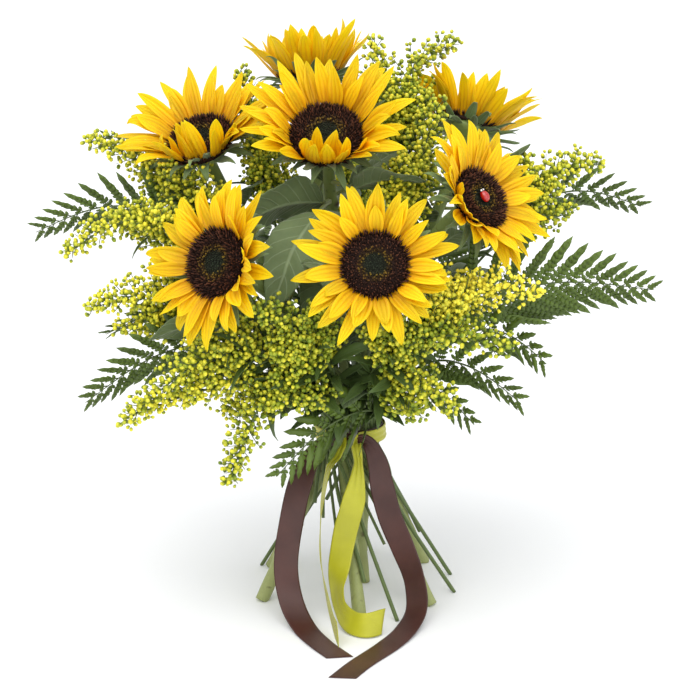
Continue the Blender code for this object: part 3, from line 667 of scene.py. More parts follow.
def disc_material():
    """across holds the share of the disc radius, along the share of the floret's height."""
    m, t, s = new_material("floret_brown")
    along, across, tint = value_of(t, "along"), value_of(t, "across"), value_of(t, "tint")
    # the florets' own dark browns by disc radius, made near black at their feet: partly their own colour,
    # partly painted shade between the packed florets
    dark_and_shaded_feet = ramp(t, [(0.0, (0.012, 0.016, 0.008)), (0.34, (0.014, 0.016, 0.007)),
                    (0.42, (0.040, 0.020, 0.006)), (0.58, (0.026, 0.009, 0.005)),
                    (1.0, (0.022, 0.007, 0.004))], across)
    tips = ramp(t, [(0.0, (0.020, 0.030, 0.018)), (0.33, (0.026, 0.032, 0.014)),
                    (0.38, (0.22, 0.14, 0.015)), (0.53, (0.16, 0.085, 0.010)),
                    (0.58, (0.135, 0.050, 0.024)), (1.0, (0.150, 0.052, 0.028))], across)
    # up each floret's height the colour turns from its painted-shade foot to its tip colour
    share = ramp(t, [(0.35, (0.0,) * 3), (1.0, (1.0,) * 3)], along)
    ripe = ramp(t, [(0.25, (0.12,) * 3), (0.85, (1.0,) * 3)], tint)
    colour = blend_colour(t, times(t, share, ripe), dark_and_shaded_feet, tips)
    mottled = use(t, MOTTLE, Color=colour, Scale=300.0, Amount=0.5, Tint=tint, Tint_Amount=0.9)
    t.links.new(mottled.outputs["Color"], s.inputs["Base Color"])
    s.inputs["Roughness"].default_value = 0.75
    s.inputs["Specular IOR Level"].default_value = 0.25
    bump(t, s, mottled.outputs["Grain"], 0.0002, 0.5)
    return m


def stem_material(name, low, high, mark, rough=0.5):
    m, t, s = new_material(name)
    along, tint = value_of(t, "along"), value_of(t, "tint")
    body = ramp(t, [(0.0, low), (1.0, high)], along)
    coords = node(t, "ShaderNodeTexCoord")
    streak = node(t, "ShaderNodeMapping")
    streak.inputs["Scale"].default_value = (900.0, 900.0, 40.0)
    t.links.new(coords.outputs["Object"], streak.inputs["Vector"])
    lines = node(t, "ShaderNodeTexNoise")
    lines.inputs["Scale"].default_value = 1.0
    lines.inputs["Detail"].default_value = 3.0
    t.links.new(streak.outputs["Vector"], lines.inputs["Vector"])
    striped = blend_colour(t, times(t, lines.outputs["Fac"], 0.5), body, tuple(c * 0.62 for c in high))
    blot = node(t, "ShaderNodeTexNoise")
    blot.inputs["Scale"].default_value = 130.0
    blot.inputs["Detail"].default_value = 5.0
    t.links.new(coords.outputs["Object"], blot.inputs["Vector"])
    spots = ramp(t, [(0.62, (0.0,) * 3), (0.72, (1.0,) * 3)], blot.outputs["Fac"])
    marked = blend_colour(t, times(t, spots, 0.55), striped, mark)
    scar = ramp(t, [(0.6, (0.0,) * 3), (0.9, (1.0,) * 3)], tint)
    marked = blend_colour(t, scar, marked, mark)
    mottled = use(t, MOTTLE, Color=marked, Scale=60.0, Amount=0.35, Tint=0.5, Tint_Amount=0.0)
    t.links.new(mottled.outputs["Color"], s.inputs["Base Color"])
    s.inputs["Roughness"].default_value = rough
    s.inputs["Specular IOR Level"].default_value = 0.4
    bump(t, s, lines.outputs["Fac"], 0.0004, 0.6)
    return m


def leaf_material(name, body, vein, rough, vein_count=0.0, amount=0.35, sheen=0.0):
    """Broad leaf: across runs -1 to 1 over the blade, along from stalk to tip."""
    m, t, s = new_material(name)
    along, across, tint = value_of(t, "along"), value_of(t, "across"), value_of(t, "tint")
    # side veins leave the rib slanting forward: a wave in (along - |across| * slant)
    side = node(t, "ShaderNodeMath", operation="ABSOLUTE")
    t.links.new(across, side.inputs[0])
    shift = node(t, "ShaderNodeMath", operation="MULTIPLY_ADD")
    t.links.new(side.outputs[0], shift.inputs[0])
    shift.inputs[1].default_value = -0.22
    t.links.new(along, shift.inputs[2])
    veins = use(t, RIBS, Across=shift.outputs[0], Count=vein_count, Sharpness=26.0).outputs["Rib"]
    rib = ramp(t, [(0.0, (1.0,) * 3), (0.05, (0.6,) * 3), (0.09, (0.0,) * 3)], side.outputs[0])
    both = node(t, "ShaderNodeMath", operation="MAXIMUM")
    t.links.new(times(t, veins, 0.55), both.inputs[0])
    t.links.new(rib, both.inputs[1])
    lined = blend_colour(t, times(t, both.outputs[0], 0.8), body, vein)
    mottled = use(t, MOTTLE, Color=lined, Scale=70.0, Amount=amount, Tint=tint, Tint_Amount=0.45)
    t.links.new(mottled.outputs["Color"], s.inputs["Base Color"])
    s.inputs["Roughness"].default_value = rough
    s.inputs["Specular IOR Level"].default_value = 0.35
    s.inputs["Sheen Weight"].default_value = sheen
    s.inputs["Sheen Roughness"].default_value = 0.5
    bump(t, s, both.outputs[0], 0.0008, 0.7)
    return m


def bud_material(name, stem, low, high, tip):
    """Goldenrod: along 0 on stalks, then up the height of each bud."""
    m, t, s = new_material(name)
    along, tint = value_of(t, "along"), value_of(t, "tint")
    # each bud runs from its green foot to a yellow crown; the darker olive low on the bud is partly painted
    # shade and the pale top partly a painted highlight
    colour = ramp(t, [(0.0, stem), (0.10, stem), (0.22, low), (0.55, high), (1.0, tip)], along)
    ripe = ramp(t, [(0.0, (0.42, 0.58, 0.50)), (0.5, (1.0, 1.0, 1.0)), (1.0, (1.10, 1.02, 0.9))], tint)
    product = node(t, "ShaderNodeMix", data_type="RGBA", blend_type="MULTIPLY")
    product.inputs[0].default_value = 1.0
    t.links.new(colour, product.inputs[6])
    t.links.new(ripe, product.inputs[7])
    mottled = use(t, MOTTLE, Color=product.outputs[2], Scale=240.0, Amount=0.3, Tint=tint, Tint_Amount=0.3)
    t.links.new(mottled.outputs["Color"], s.inputs["Base Color"])
    s.inputs["Roughness"].default_value = 0.5
    s.inputs["Specular IOR Level"].default_value = 0.4
    bump(t, s, mottled.outputs["Grain"], 0.0002, 0.4)
    return m


def satin_material(name, body, shine):
    """Satin ribbon: a fine weave across and along, woven edges, and a painted sheen of lighter patches where
    the threads catch the light.
    """
    m, t, s = new_material(name)
    uv = node(t, "ShaderNodeUVMap", uv_map="cloth")
    split = node(t, "ShaderNodeSeparateXYZ")
    t.links.new(uv.outputs["UV"], split.inputs["Vector"])
    waves = []
    for axis, scale in (("Y", 6.283 / 0.00050), ("X", 6.283 / 0.00040)):
        w = node(t, "ShaderNodeMath", operation="MULTIPLY")
        t.links.new(split.outputs[axis], w.inputs[0])
        w.inputs[1].default_value = scale
        c = node(t, "ShaderNodeMath", operation="SINE")
        t.links.new(w.outputs[0], c.inputs[0])
        waves.append(c.outputs[0])
    weave = node(t, "ShaderNodeMath", operation="MULTIPLY_ADD")
    t.links.new(waves[1], weave.inputs[0])
    weave.inputs[1].default_value = 0.35
    t.links.new(waves[0], weave.inputs[2])
    edge = value_of(t, "across")
    away = node(t, "ShaderNodeMath", operation="ABSOLUTE")
    t.links.new(edge, away.inputs[0])
    selvedge = ramp(t, [(0.92, (0.0,) * 3), (0.95, (1.0,) * 3)], away.outputs[0])
    coords = node(t, "ShaderNodeTexCoord")
    # painted sheen: cloudy patches blend the cloth towards its lighter shine colour
    sheen_noise = node(t, "ShaderNodeTexNoise")
    sheen_noise.inputs["Scale"].default_value = 38.0
    sheen_noise.inputs["Detail"].default_value = 3.0
    t.links.new(coords.outputs["Object"], sheen_noise.inputs["Vector"])
    painted_sheen = ramp(t, [(0.35, (0.0,) * 3), (0.7, (1.0,) * 3)], sheen_noise.outputs["Fac"])
    colour = blend_colour(t, times(t, painted_sheen, 0.45), body, shine)
    colour = blend_colour(t, times(t, selvedge, 0.35), colour, tuple(c * 0.6 for c in body))
    mottled = use(t, MOTTLE, Color=colour, Scale=1500.0, Amount=0.18, Tint=0.5, Tint_Amount=0.0)
    t.links.new(mottled.outputs["Color"], s.inputs["Base Color"])
    s.inputs["Roughness"].default_value = 0.36
    s.inputs["Sheen Weight"].default_value = 0.12
    s.inputs["Sheen Roughness"].default_value = 0.35
    s.inputs["Anisotropic"].default_value = 0.5
    bump(t, s, weave.outputs[0], 0.00008, 0.35)
    return m


def gloss_material(name, colour, rough=0.12, coat=1.0):
    m, t, s = new_material(name)
    mottled = use(t, MOTTLE, Color=colour, Scale=500.0, Amount=0.12, Tint=0.5, Tint_Amount=0.0)
    t.links.new(mottled.outputs["Color"], s.inputs["Base Color"])
    s.inputs["Roughness"].default_value = rough
    s.inputs["Coat Weight"].default_value = coat
    s.inputs["Coat Roughness"].default_value = 0.05
    bump(t, s, mottled.outputs["Grain"], 0.00005, 0.3)
    return m


PETAL = petal_material()
DISC = disc_material()
STEM = stem_material("sunflower_stem_green", (0.36, 0.39, 0.15), (0.24, 0.31, 0.095), (0.060, 0.036, 0.012))
SPRAY_STEM = stem_material("thin_stem_green", (0.12, 0.17, 0.05), (0.09, 0.13, 0.04), (0.05, 0.05, 0.02))
BRACT = leaf_material("bract_green", (0.085, 0.145, 0.035), (0.22, 0.30, 0.12), 0.6, 0.0, 0.3, 0.2)
LEAF = leaf_material("sunflower_leaf_green", (0.125, 0.175, 0.070), (0.26, 0.33, 0.18), 0.62, 50.0, 0.55, 0.2)
NARROW = leaf_material("goldenrod_leaf_green", (0.045, 0.085, 0.016), (0.12, 0.18, 0.05), 0.5, 0.0, 0.4)
FERN = leaf_material("fern_green", (0.042, 0.080, 0.005), (0.10, 0.155, 0.022), 0.38, 0.0, 0.6)
# goldenrod colours: stalk, bud foot partly in painted shade, bud middle partly a painted highlight, yellow
# crown
BUDS = bud_material("goldenrod_yellow", (0.17, 0.23, 0.04), (0.22, 0.29, 0.022), (0.56, 0.58, 0.032),
                    (0.84, 0.76, 0.050))
OPEN_BUDS = bud_material("goldenrod_open_yellow", (0.17, 0.23, 0.04), (0.45, 0.48, 0.03), (0.76, 0.70, 0.04),
                         (0.86, 0.80, 0.07))
# each satin's second colour is its painted sheen
BROWN_SATIN = satin_material("brown_satin_cloth", (0.050, 0.012, 0.008), (0.110, 0.034, 0.024))
LIME_SATIN = satin_material("lime_satin_cloth", (0.42, 0.41, 0.010), (0.66, 0.64, 0.040))
RED_GLOSS = gloss_material("ladybird_shell", (0.42, 0.004, 0.006))
BLACK_GLOSS = gloss_material("ladybird_black", (0.010, 0.008, 0.008), 0.2)
WHITE_GLOSS = gloss_material("ladybird_eye", (0.85, 0.85, 0.85), 0.2)

BUD_SHAPE = model_bud()
STAR_SHAPE = model_star()
FLORET_SHAPE = model_floret()
SPIKE_SHAPE = model_spike()
LEAFLET_SHAPE = model_leaflet()

# ------------------------------------------------------------------ sunflower heads

heads = [Head(k) for k in range(1, 8)]
runs = {}
for head in heads:
    runs[head.name] = Run(head.name + "_stem", 0.013)


def petal_grid(length, width, lift, lift_end, tip_curl, twist, keel, sideways, outline, columns=10, rows=16):
    """One petal or bract: x out, y across, z towards the flower's face."""
    v = np.linspace(0, 1, rows + 1)
    u = np.linspace(-1, 1, columns + 1)
    slope = lift + (lift_end - lift) * v + tip_curl * np.clip((v - 0.66) / 0.34, 0, 1) ** 1.6
    step = length / rows
    middle = (slope[1:] + slope[:-1]) / 2
    x = np.concatenate(([0], np.cumsum(np.cos(middle)))) * step
    z = np.concatenate(([0], np.cumsum(np.sin(middle)))) * step
    half = width / 2 * outline(v)
    tw = twist * v
    off_y = u[None] * (half * np.cos(tw))[:, None]
    ridges = 0.085 * half[:, None] * np.cos(u[None] * 8.5) * (1 - 0.6 * v[:, None])
    frill = 0.10 * half[:, None] * np.sin(v[:, None] * 8 + 40 * keel) * u[None] * np.abs(u[None])
    trough = keel * half[:, None] * (u[None] ** 2) + ridges + frill
    off_n = u[None] * (half * np.sin(tw))[:, None] + trough
    grid = np.empty((rows + 1, columns + 1, 3))
    grid[..., 0] = x[:, None] - off_n * np.sin(slope)[:, None]
    grid[..., 1] = off_y + (sideways * length * v**2)[:, None]
    grid[..., 2] = z[:, None] + off_n * np.cos(slope)[:, None]
    return grid, v[:, None], u[None]


def ray_outline(v):
    """Half width of a ray petal: narrow at its foot, widest before the middle, drawn out to a point."""
    return np.interp(v, (0, 0.06, 0.15, 0.28, 0.42, 0.56, 0.70, 0.82, 0.91, 0.96, 1.0),
                     (0.44, 0.56, 0.76, 0.93, 1.0, 0.97, 0.83, 0.62, 0.38, 0.22, 0.03))


def bract_outline(v):
    return np.maximum(0.02, (1 - v) ** 0.62 * (0.72 + 0.9 * v * (1 - v)))


def lay_petal(g, head, angle, base, height, grid, v, u, tint):
    """Sets a petal on the head's rim, at an angle and height."""
    out = head.out(angle)
    beside = np.cross(head.n, out)
    world = (head.at + out * base + head.n * height
             + grid[..., :1] * out + grid[..., 1:2] * beside + grid[..., 2:] * head.n)
    g.sheet(world, v, u, tint)


# where petals curl in over the disc: angle on the head, extra degrees, spread in degrees
CURLED_IN = {"sunflower_1": (268, 44, 34), "sunflower_2": (276, 40, 34), "sunflower_5": (205, -20, 44)}

# flowers whose petals are longer than their CAD ring
LONGER_RAYS = {"sunflower_1": 1.20, "sunflower_2": 1.10, "sunflower_4": 1.05, "sunflower_6": 1.12,
               "sunflower_7": 1.08}

# rings of petals: count, turn, height, more lift in degrees, length share, share of the inward curl
RAY_LAYERS = ((17, 0.0, -0.0034, 7, 0.97, 1.0), (18, 0.45, -0.0044, -5, 1.05, 0.75),
              (9, 0.2, -0.0026, 16, 0.72, 1.1))
# rings of bracts: count, turn, height, tilt in degrees, length
BRACT_LAYERS = ((13, 0.0, -0.0075, -6, 0.030), (13, 0.5, -0.0095, -26, 0.026))
PETAL_THICKNESS = 0.00028
BRACT_THICKNESS = 0.0005


def petals_of(head, rng):
    g = Gathering()
    centre, extra, fan = CURLED_IN.get(head.name, (0, 0, 30))
    for count, offset, height, lift_more, longer, share in RAY_LAYERS:
        for k in range(count):
            angle = 2 * math.pi * (k + offset + rng.uniform(-0.34, 0.34)) / count
            away = (math.degrees(angle) - centre + 180) % 360 - 180
            inward = math.radians(extra) * share * math.exp(-((away / fan) ** 2))
            cup = float(head.cup_at(angle)) + math.radians(lift_more) + inward
            upright = ease((cup - math.radians(42)) / math.radians(25))
            length = head.reach * longer * rng.uniform(0.84, 1.10) * (1 - 0.25 * inward)
            length *= LONGER_RAYS.get(head.name, 1.0)
            lift = cup + math.radians(10) * (1 - upright) - 0.16 * upright + rng.normal(0, 0.10)
            end = cup - math.radians(16) * (1 - upright) + 0.22 * upright + rng.normal(0, 0.16)
            grid, v, u = petal_grid(length, rng.uniform(0.0104, 0.0136), lift, end,
                                    rng.normal(0.0, 0.42), rng.normal(0, 0.38), rng.uniform(0.08, 0.42),
                                    rng.normal(0, 0.09), ray_outline)
            lay_petal(g, head, angle, head.radius - 0.0018, height, grid, v, u, rng.uniform(0, 1))
    ob = g.build(head.name + "_rays")
    thicken(ob, PETAL_THICKNESS)
    place(ob, PETAL, [head.name + "_petals"])


def bracts_of(head, rng):
    g = Gathering()
    for count, offset, height, tilt, length in BRACT_LAYERS:
        for k in range(count):
            angle = 2 * math.pi * (k + offset + rng.uniform(-0.2, 0.2)) / count
            cup = float(head.cup_at(angle)) * 0.75 + math.radians(tilt) + rng.normal(0, 0.12)
            grid, v, u = petal_grid(length * rng.uniform(0.8, 1.15), rng.uniform(0.0095, 0.0125), cup,
                                    cup - 0.25 + rng.normal(0, 0.35), rng.normal(-0.7, 0.6),
                                    rng.normal(0, 0.25), 0.25, rng.normal(0, 0.08), bract_outline, 6, 12)
            lay_petal(g, head, angle, head.radius * 0.80, height, grid, v, u, rng.uniform(0, 1))
    ob = g.build(head.name + "_bracts")
    thicken(ob, BRACT_THICKNESS)
    place(ob, BRACT, [])


def disc_height(share):
    return np.interp(share, (0, 0.12, 0.34, 0.70, 0.92, 1.0),
                     (-0.0004, -0.0002, 0.0008, 0.0020, 0.0004, -0.0036))


def set_on_disc(g, head, shape, share, angle, lean, wide, tall, rng):
    """Stands copies of a floret shape on the domed bed, leaning outwards by lean."""
    r = share * head.radius * 0.985
    count = len(share)
    out = np.outer(np.cos(angle), head.e1) + np.outer(np.sin(angle), head.e2)
    at = head.at + out * r[:, None] + np.outer(disc_height(share) - 0.0004, head.n)
    z = unit(head.n + out * (lean + rng.normal(0, 0.22, count))[:, None] + rng.normal(0, 0.16, (count, 3)))
    x = square_to(out, z)
    size = np.stack((wide, wide, tall * rng.uniform(0.72, 1.2, count)), axis=1)
    g.scatter(shape, at, x, np.cross(z, x), z, size, rng.uniform(0, 1, count))
    g.values["across"][-1] = np.repeat(share, len(shape[0]))


def disc_of(head, rng):
    g = Gathering()
    # the domed bed the florets stand on, closed underneath
    shares = np.concatenate(([0.0], np.linspace(0.06, 1.0, 16)))
    around = np.linspace(0, 2 * math.pi, 49)
    ring = np.cos(around)[:, None] * head.e1 + np.sin(around)[:, None] * head.e2
    flat = head.at + (shares * head.radius * 0.97)[:, None, None] * ring[None]
    bed = flat + disc_height(shares)[:, None, None] * head.n
    grid = np.concatenate((bed, (flat - 0.0058 * head.n)[::-1]))
    both = np.concatenate((shares, shares[::-1]))
    # the bed's along value of 0.2 gives it the florets' dark foot colour with its painted shade
    g.sheet(grid[::-1], 0.2, both[:, None], 0.5)
    count = int(800 * (head.radius / 0.027) ** 2)
    k = np.arange(count)
    share = np.sqrt((k + 0.5) / count)
    angle = k * GOLDEN_ANGLE
    outer, inner = share > 0.56, share < 0.36
    for pick, shape, lean, wide, tall in (
            (outer, SPIKE_SHAPE, np.interp(share, (0.56, 0.8, 1.0), (0.05, 0.25, 0.9)), 0.0049, 0.0046),
            (~outer & ~inner, FLORET_SHAPE, np.full(count, -0.15), 0.0035, 0.0031),
            (inner, BUD_SHAPE, np.full(count, -0.2), 0.0017, 0.0022)):
        n = int(pick.sum())
        set_on_disc(g, head, shape, share[pick], angle[pick], lean[pick], np.full(n, wide),
                    np.full(n, tall), rng)
    # a ragged fringe over the petals' feet
    n = 110
    set_on_disc(g, head, SPIKE_SHAPE, rng.uniform(0.93, 1.02, n), np.arange(n) * 2 * math.pi / n,
                np.full(n, 1.5), np.full(n, 0.0046), np.full(n, 0.0058), rng)
    ob = g.build(head.name + "_florets")
    only(ob)
    bpy.ops.object.mode_set(mode="EDIT")
    bpy.ops.mesh.select_all(action="SELECT")
    bpy.ops.mesh.remove_doubles(threshold=0.000003)
    bpy.ops.object.mode_set(mode="OBJECT")
    place(ob, DISC, [head.name + "_disc"])


def stem_of(head, rng):
    """The stem and the green cup under the disc, with nodes and the scars of stripped leaves."""
    run = runs[head.name]
    g = Gathering()
    sides = 18
    radius = run.half.copy()
    radius[0] = radius[2] if radius[0] > 1.2 * radius[2] else radius[0]
    count = len(run.s)
    a = np.arange(sides) * 2 * math.pi / sides
    ripple = (1 + 0.025 * np.sin(run.s * 190 + rng.uniform(0, 6))[:, None]
              + 0.018 * np.sin(3 * a + rng.uniform(0, 6))[None])
    swell = np.ones(count)
    marks = np.zeros((count, sides))
    even = np.arange(0.05, run.length - 0.05, 0.042)
    spots = even + rng.uniform(-0.012, 0.012, len(even))
    for spot in spots:
        near = np.exp(-((run.s - spot) / 0.0045) ** 2)
        swell += 0.13 * near
        side = rng.uniform(0, 2 * math.pi)
        facing = np.clip(np.cos(a - side) * 1.6 - 0.6, 0, 1)
        marks += near[:, None] * facing[None]
    radii = radius[:, None] * ripple * swell[:, None] + 0.0017 * np.clip(marks, 0, 1)
    # a flat cut end, turned out a little where the bark was pressed
    radii[0] *= 1.02
    points = run.points.copy()
    g.tube(points, radii, sides, 0.2, along=np.clip(run.s / 0.30, 0, 1))
    tint = g.values["tint"][-1].copy()
    tint[:count * sides] = 0.2 + 0.8 * np.clip(marks, 0, 1).reshape(-1)
    g.values["tint"][-1] = tint
    ob = g.build(head.name + "_stalk")
    place(ob, STEM, [head.name + "_stem"])


for number, head in enumerate(heads):
    rng = np.random.default_rng(100 + number)
    petals_of(head, rng)
    bracts_of(head, rng)
    disc_of(head, rng)
    stem_of(head, rng)

# ------------------------------------------------------------------ broad leaves


def leaf_outline(v):
    body = np.sin(np.pi * np.clip(v, 0, 1) ** 0.70) ** 0.85
    return np.maximum(0.03, body)


def blade(g, p, a, n, wide, rng, columns=20):
    """A sunflower leaf along its middle line p: toothed, folded at its rib, waved and quilted."""
    rows = len(p) - 1
    v = np.linspace(0, 1, rows + 1)
    u = np.linspace(-1, 1, columns + 1)
    teeth = 1 + 0.05 * np.abs(np.sin(v * 34))
    half = wide * leaf_outline(v) * teeth
    fold = 0.34 + 0.12 * np.sin(v * 5 + rng.uniform(0, 6))
    phase = rng.uniform(0, 6)
    wave = 0.12 * np.sin(v[:, None] * 13 + phase + 1.2 * np.sign(u)[None]) * np.abs(u[None]) ** 2
    side = u[None] * np.cos(fold)[:, None] * half[:, None]
    lift = (np.abs(u)[None] * np.sin(fold)[:, None] + wave - 0.20 * np.abs(u[None]) ** 2.4) * half[:, None]
    vein = np.sin((v[:, None] - 0.22 * np.abs(u)[None]) * 50)
    quilt = 0.0007 * vein * (1 - np.abs(u)[None]) * np.minimum(1, np.abs(u)[None] * 6)
    grid = p[:, None] + a[:, None] * side[..., None] + n[:, None] * (lift + quilt)[..., None]
    g.sheet(grid, v[:, None], u[None], rng.uniform(0.15, 0.85))


def broad_leaf(name, rng):
    def first(spots):
        return int(np.linalg.norm(spots - np.array((0.0, 0.0, 0.34)), axis=1).argmin())
    run = Run(name, 0.0045, first, 0.002)
    g = Gathering()
    p, t, a, n = run.at(np.linspace(0, 1, 35) * run.length)
    if n[:, 2].mean() < 0:
        a, n = -a, -n
    blade(g, p, a, n, run.half.max() * 1.18, rng)
    ob = g.build(name + "_blade")
    thicken(ob, 0.0006)
    place(ob, LEAF, [name])
    # the leaf stalk reaches back to the nearest sunflower stem
    best = None
    for stem in runs.values():
        ok = stem.points[:, 2] > 0.18
        gap = np.linalg.norm(stem.points - p[0] - np.array((0, 0, -0.012)), axis=1) + np.where(ok, 0, 1)
        i = int(gap.argmin())
        if best is None or gap[i] < best[0]:
            best = (gap[i], stem.points[i])
    root = best[1]
    stalk = Gathering()
    path = hermite(root, (p[0] - root) * 0.8 + np.array((0, 0, 0.012)), p[1], t[0] * 0.02, 14)
    stalk.tube(path, np.linspace(0.0021, 0.0012, 14), 8, 0.2)
    ob = stalk.build(name + "_stalk")
    place(ob, STEM, [])


LOWEST_LEAF = 0.190
HEAD_CLEAR = 0.062


def stem_leaves(head, rng):
    """Smaller leaves left on a flower stem between the tie and its head; they fill the inside."""
    run = runs[head.name]
    low = run.above(LOWEST_LEAF)
    spots = np.arange(low, run.length - HEAD_CLEAR, 0.021)
    g, stalks = Gathering(), Gathering()
    for k, s in enumerate(spots):
        p, t, a, n = (q[0] for q in run.at(s))
        out = turned(a[None], t, np.array([k * 2.2 + rng.uniform(-0.5, 0.5)]))[0]
        length = rng.uniform(0.042, 0.064)
        root = p + out * 0.004
        lead = unit(out + t * 0.5)
        foot = root + lead * 0.014
        tip = foot + lead * length * 0.92 - UP * length * rng.uniform(0.0, 0.25)
        path = hermite(foot, lead * length * 1.1, tip, (lead - UP * 0.7) * length, 19)
        d = tangents_of(path)
        across = square_to(np.broadcast_to(np.cross(t, out), d.shape), d)
        face = np.cross(d, across)
        if face[:, 2].mean() < 0:
            across, face = -across, -face
        blade(g, path, across, face, length * rng.uniform(0.26, 0.33), rng, 10)
        stalks.tube(hermite(p, out * 0.01, path[1], lead * 0.012, 8), np.linspace(0.0018, 0.0010, 8), 6, 0.2)
    ob = g.build(head.name + "_leaves")
    thicken(ob, 0.0005)
    place(ob, LEAF, [])
    ob = stalks.build(head.name + "_leaf_stalks")
    place(ob, STEM, [])


for number, head in enumerate(heads):
    stem_leaves(head, np.random.default_rng(250 + number))

for number, name in enumerate(sorted(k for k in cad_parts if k.startswith("leaf_"))):
    broad_leaf(name, np.random.default_rng(200 + number))

# ------------------------------------------------------------------ goldenrod


def bud_branch(g, stalks, origin, run, out, length, rng, shape, bud, tint_mean):
    """One side branch of a plume: a thin stalk that arches upward, thickly set with buds."""
    count = 6
    t = np.linspace(0, 1, count)[:, None]
    start = unit(run * 0.95 + out)
    path = origin + start * length * t + UP * 0.16 * length * t**2 + out * 0.12 * length * t**2
    stalks.tube(path, np.linspace(0.00045, 0.00025, count), 4, 0.3, along=np.zeros(count))
    total = lengths_along(path)
    spots = np.arange(0.12 * length, total[-1] + bud * 0.3, bud * (0.50 if shape is STAR_SHAPE else 0.72))
    p = spread(spots, total, path)
    d = unit(spread(spots, total, tangents_of(path)))
    side = square_to(np.broadcast_to(np.array((0.3, 0.2, 0.9)), d.shape), d)
    for turn in (0.0, math.pi):
        a = np.arange(len(spots)) * 2.0 + rng.uniform(0, 6) + turn
        reach = turned(side, d, a)
        z = unit(reach + d * rng.uniform(0.2, 0.9, (len(spots), 1)) + UP * 0.3)
        x = square_to(np.broadcast_to(np.array((1.0, 0.2, 0.1)), z.shape), z)
        size = bud * rng.uniform(0.78, 1.15, len(spots)) * np.interp(spots / total[-1], (0, 1), (1.05, 0.85))
        g.scatter(shape, p + reach * rng.uniform(0.2, 0.5, (len(spots), 1)) * bud, x, np.cross(z, x), z, size,
                  np.clip(rng.normal(tint_mean, 0.22, len(spots)), 0, 1))


def plume(g, stalks, path, wide, rng, shape, bud, tint_mean, spacing=0.0033):
    """A goldenrod plume along a path: side branches long at its foot and short at its tip."""
    total = lengths_along(path)
    length = total[-1]
    s, k = 0.0, 0
    phase = rng.uniform(0, 6)
    tangent = tangents_of(path)
    tint_mean = float(np.clip(tint_mean + rng.normal(0, 0.1), 0, 1))
    while s < length * 0.99:
        share = s / length
        origin = spread(np.array([s]), total, path)[0]
        run = unit(spread(np.array([s]), total, tangent)[0])
        side = square_to(np.array((0.21, 0.13, 0.97)), run)
        out = turned(side[None], run, np.array([phase + k * GOLDEN_ANGLE]))[0]
        # branches lean to the upper side of an arching plume
        out = square_to(unit(out + UP * 0.30), run)
        reach = wide * (min(1.0, 0.55 + share * 2.2) * (1 - share) ** 0.62 + 0.14) * rng.uniform(0.75, 1.12)
        bud_branch(g, stalks, origin, run, out, reach, rng, shape, bud, tint_mean)
        s += spacing * rng.uniform(0.8, 1.2)
        k += 1


def narrow_outline(q):
    return np.maximum(0.03, np.sin(np.pi * q**0.8) ** 0.9)


def narrow_leaves(g, run, low, high, count, rng):
    """The goldenrod's own narrow leaves, along its stem below the plume."""
    for k in range(count):
        s = low + (high - low) * (k + rng.uniform(0.2, 0.8)) / count
        p, t, a, n = (q[0] for q in run.at(s))
        out = turned(a[None], t, np.array([k * GOLDEN_ANGLE + rng.uniform(-0.4, 0.4)]))[0]
        length = rng.uniform(0.026, 0.050)
        grid, v, u = petal_grid(length, length * 0.22, 0.0, -0.5 + rng.normal(0, 0.2),
                                rng.normal(-0.2, 0.2), rng.normal(0, 0.3), 0.35, 0.0, narrow_outline, 4, 8)
        ahead = unit(out + t * rng.uniform(0.5, 1.2))
        beside = unit(np.cross(t, out))
        face = np.cross(ahead, beside)
        if face[2] < 0:
            face, beside = -face, -beside
        world = p + out * 0.0012 + grid[..., :1] * ahead + grid[..., 1:2] * beside + grid[..., 2:] * face
        g.sheet(world, v, u, rng.uniform(0.2, 0.9))


# how far each spray has turned from green to yellow
RIPE = {"goldenrod_front_left": 0.60, "goldenrod_left_low": 0.55, "goldenrod_left_middle": 0.55,
        "goldenrod_left_high": 0.50, "goldenrod_right_front": 0.78, "goldenrod_right_high": 0.52,
        "goldenrod_between_right": 0.50, "goldenrod_front_low": 0.30, "goldenrod_centre_left": 0.30}
OPENED = ("goldenrod_right_front",)
CLOSED_BUD = 0.0049
OPEN_BUD = 0.0084
# side plumes: side, start and length as shares of the main plume, turn away from it
SIDE_PLUMES = ((1, -0.20, 0.66, 0.42), (-1, -0.32, 0.60, 0.46), (1, 0.10, 0.45, 0.50),
               (-1, 0.02, 0.52, 0.40), (1, -0.05, 0.40, 0.75))


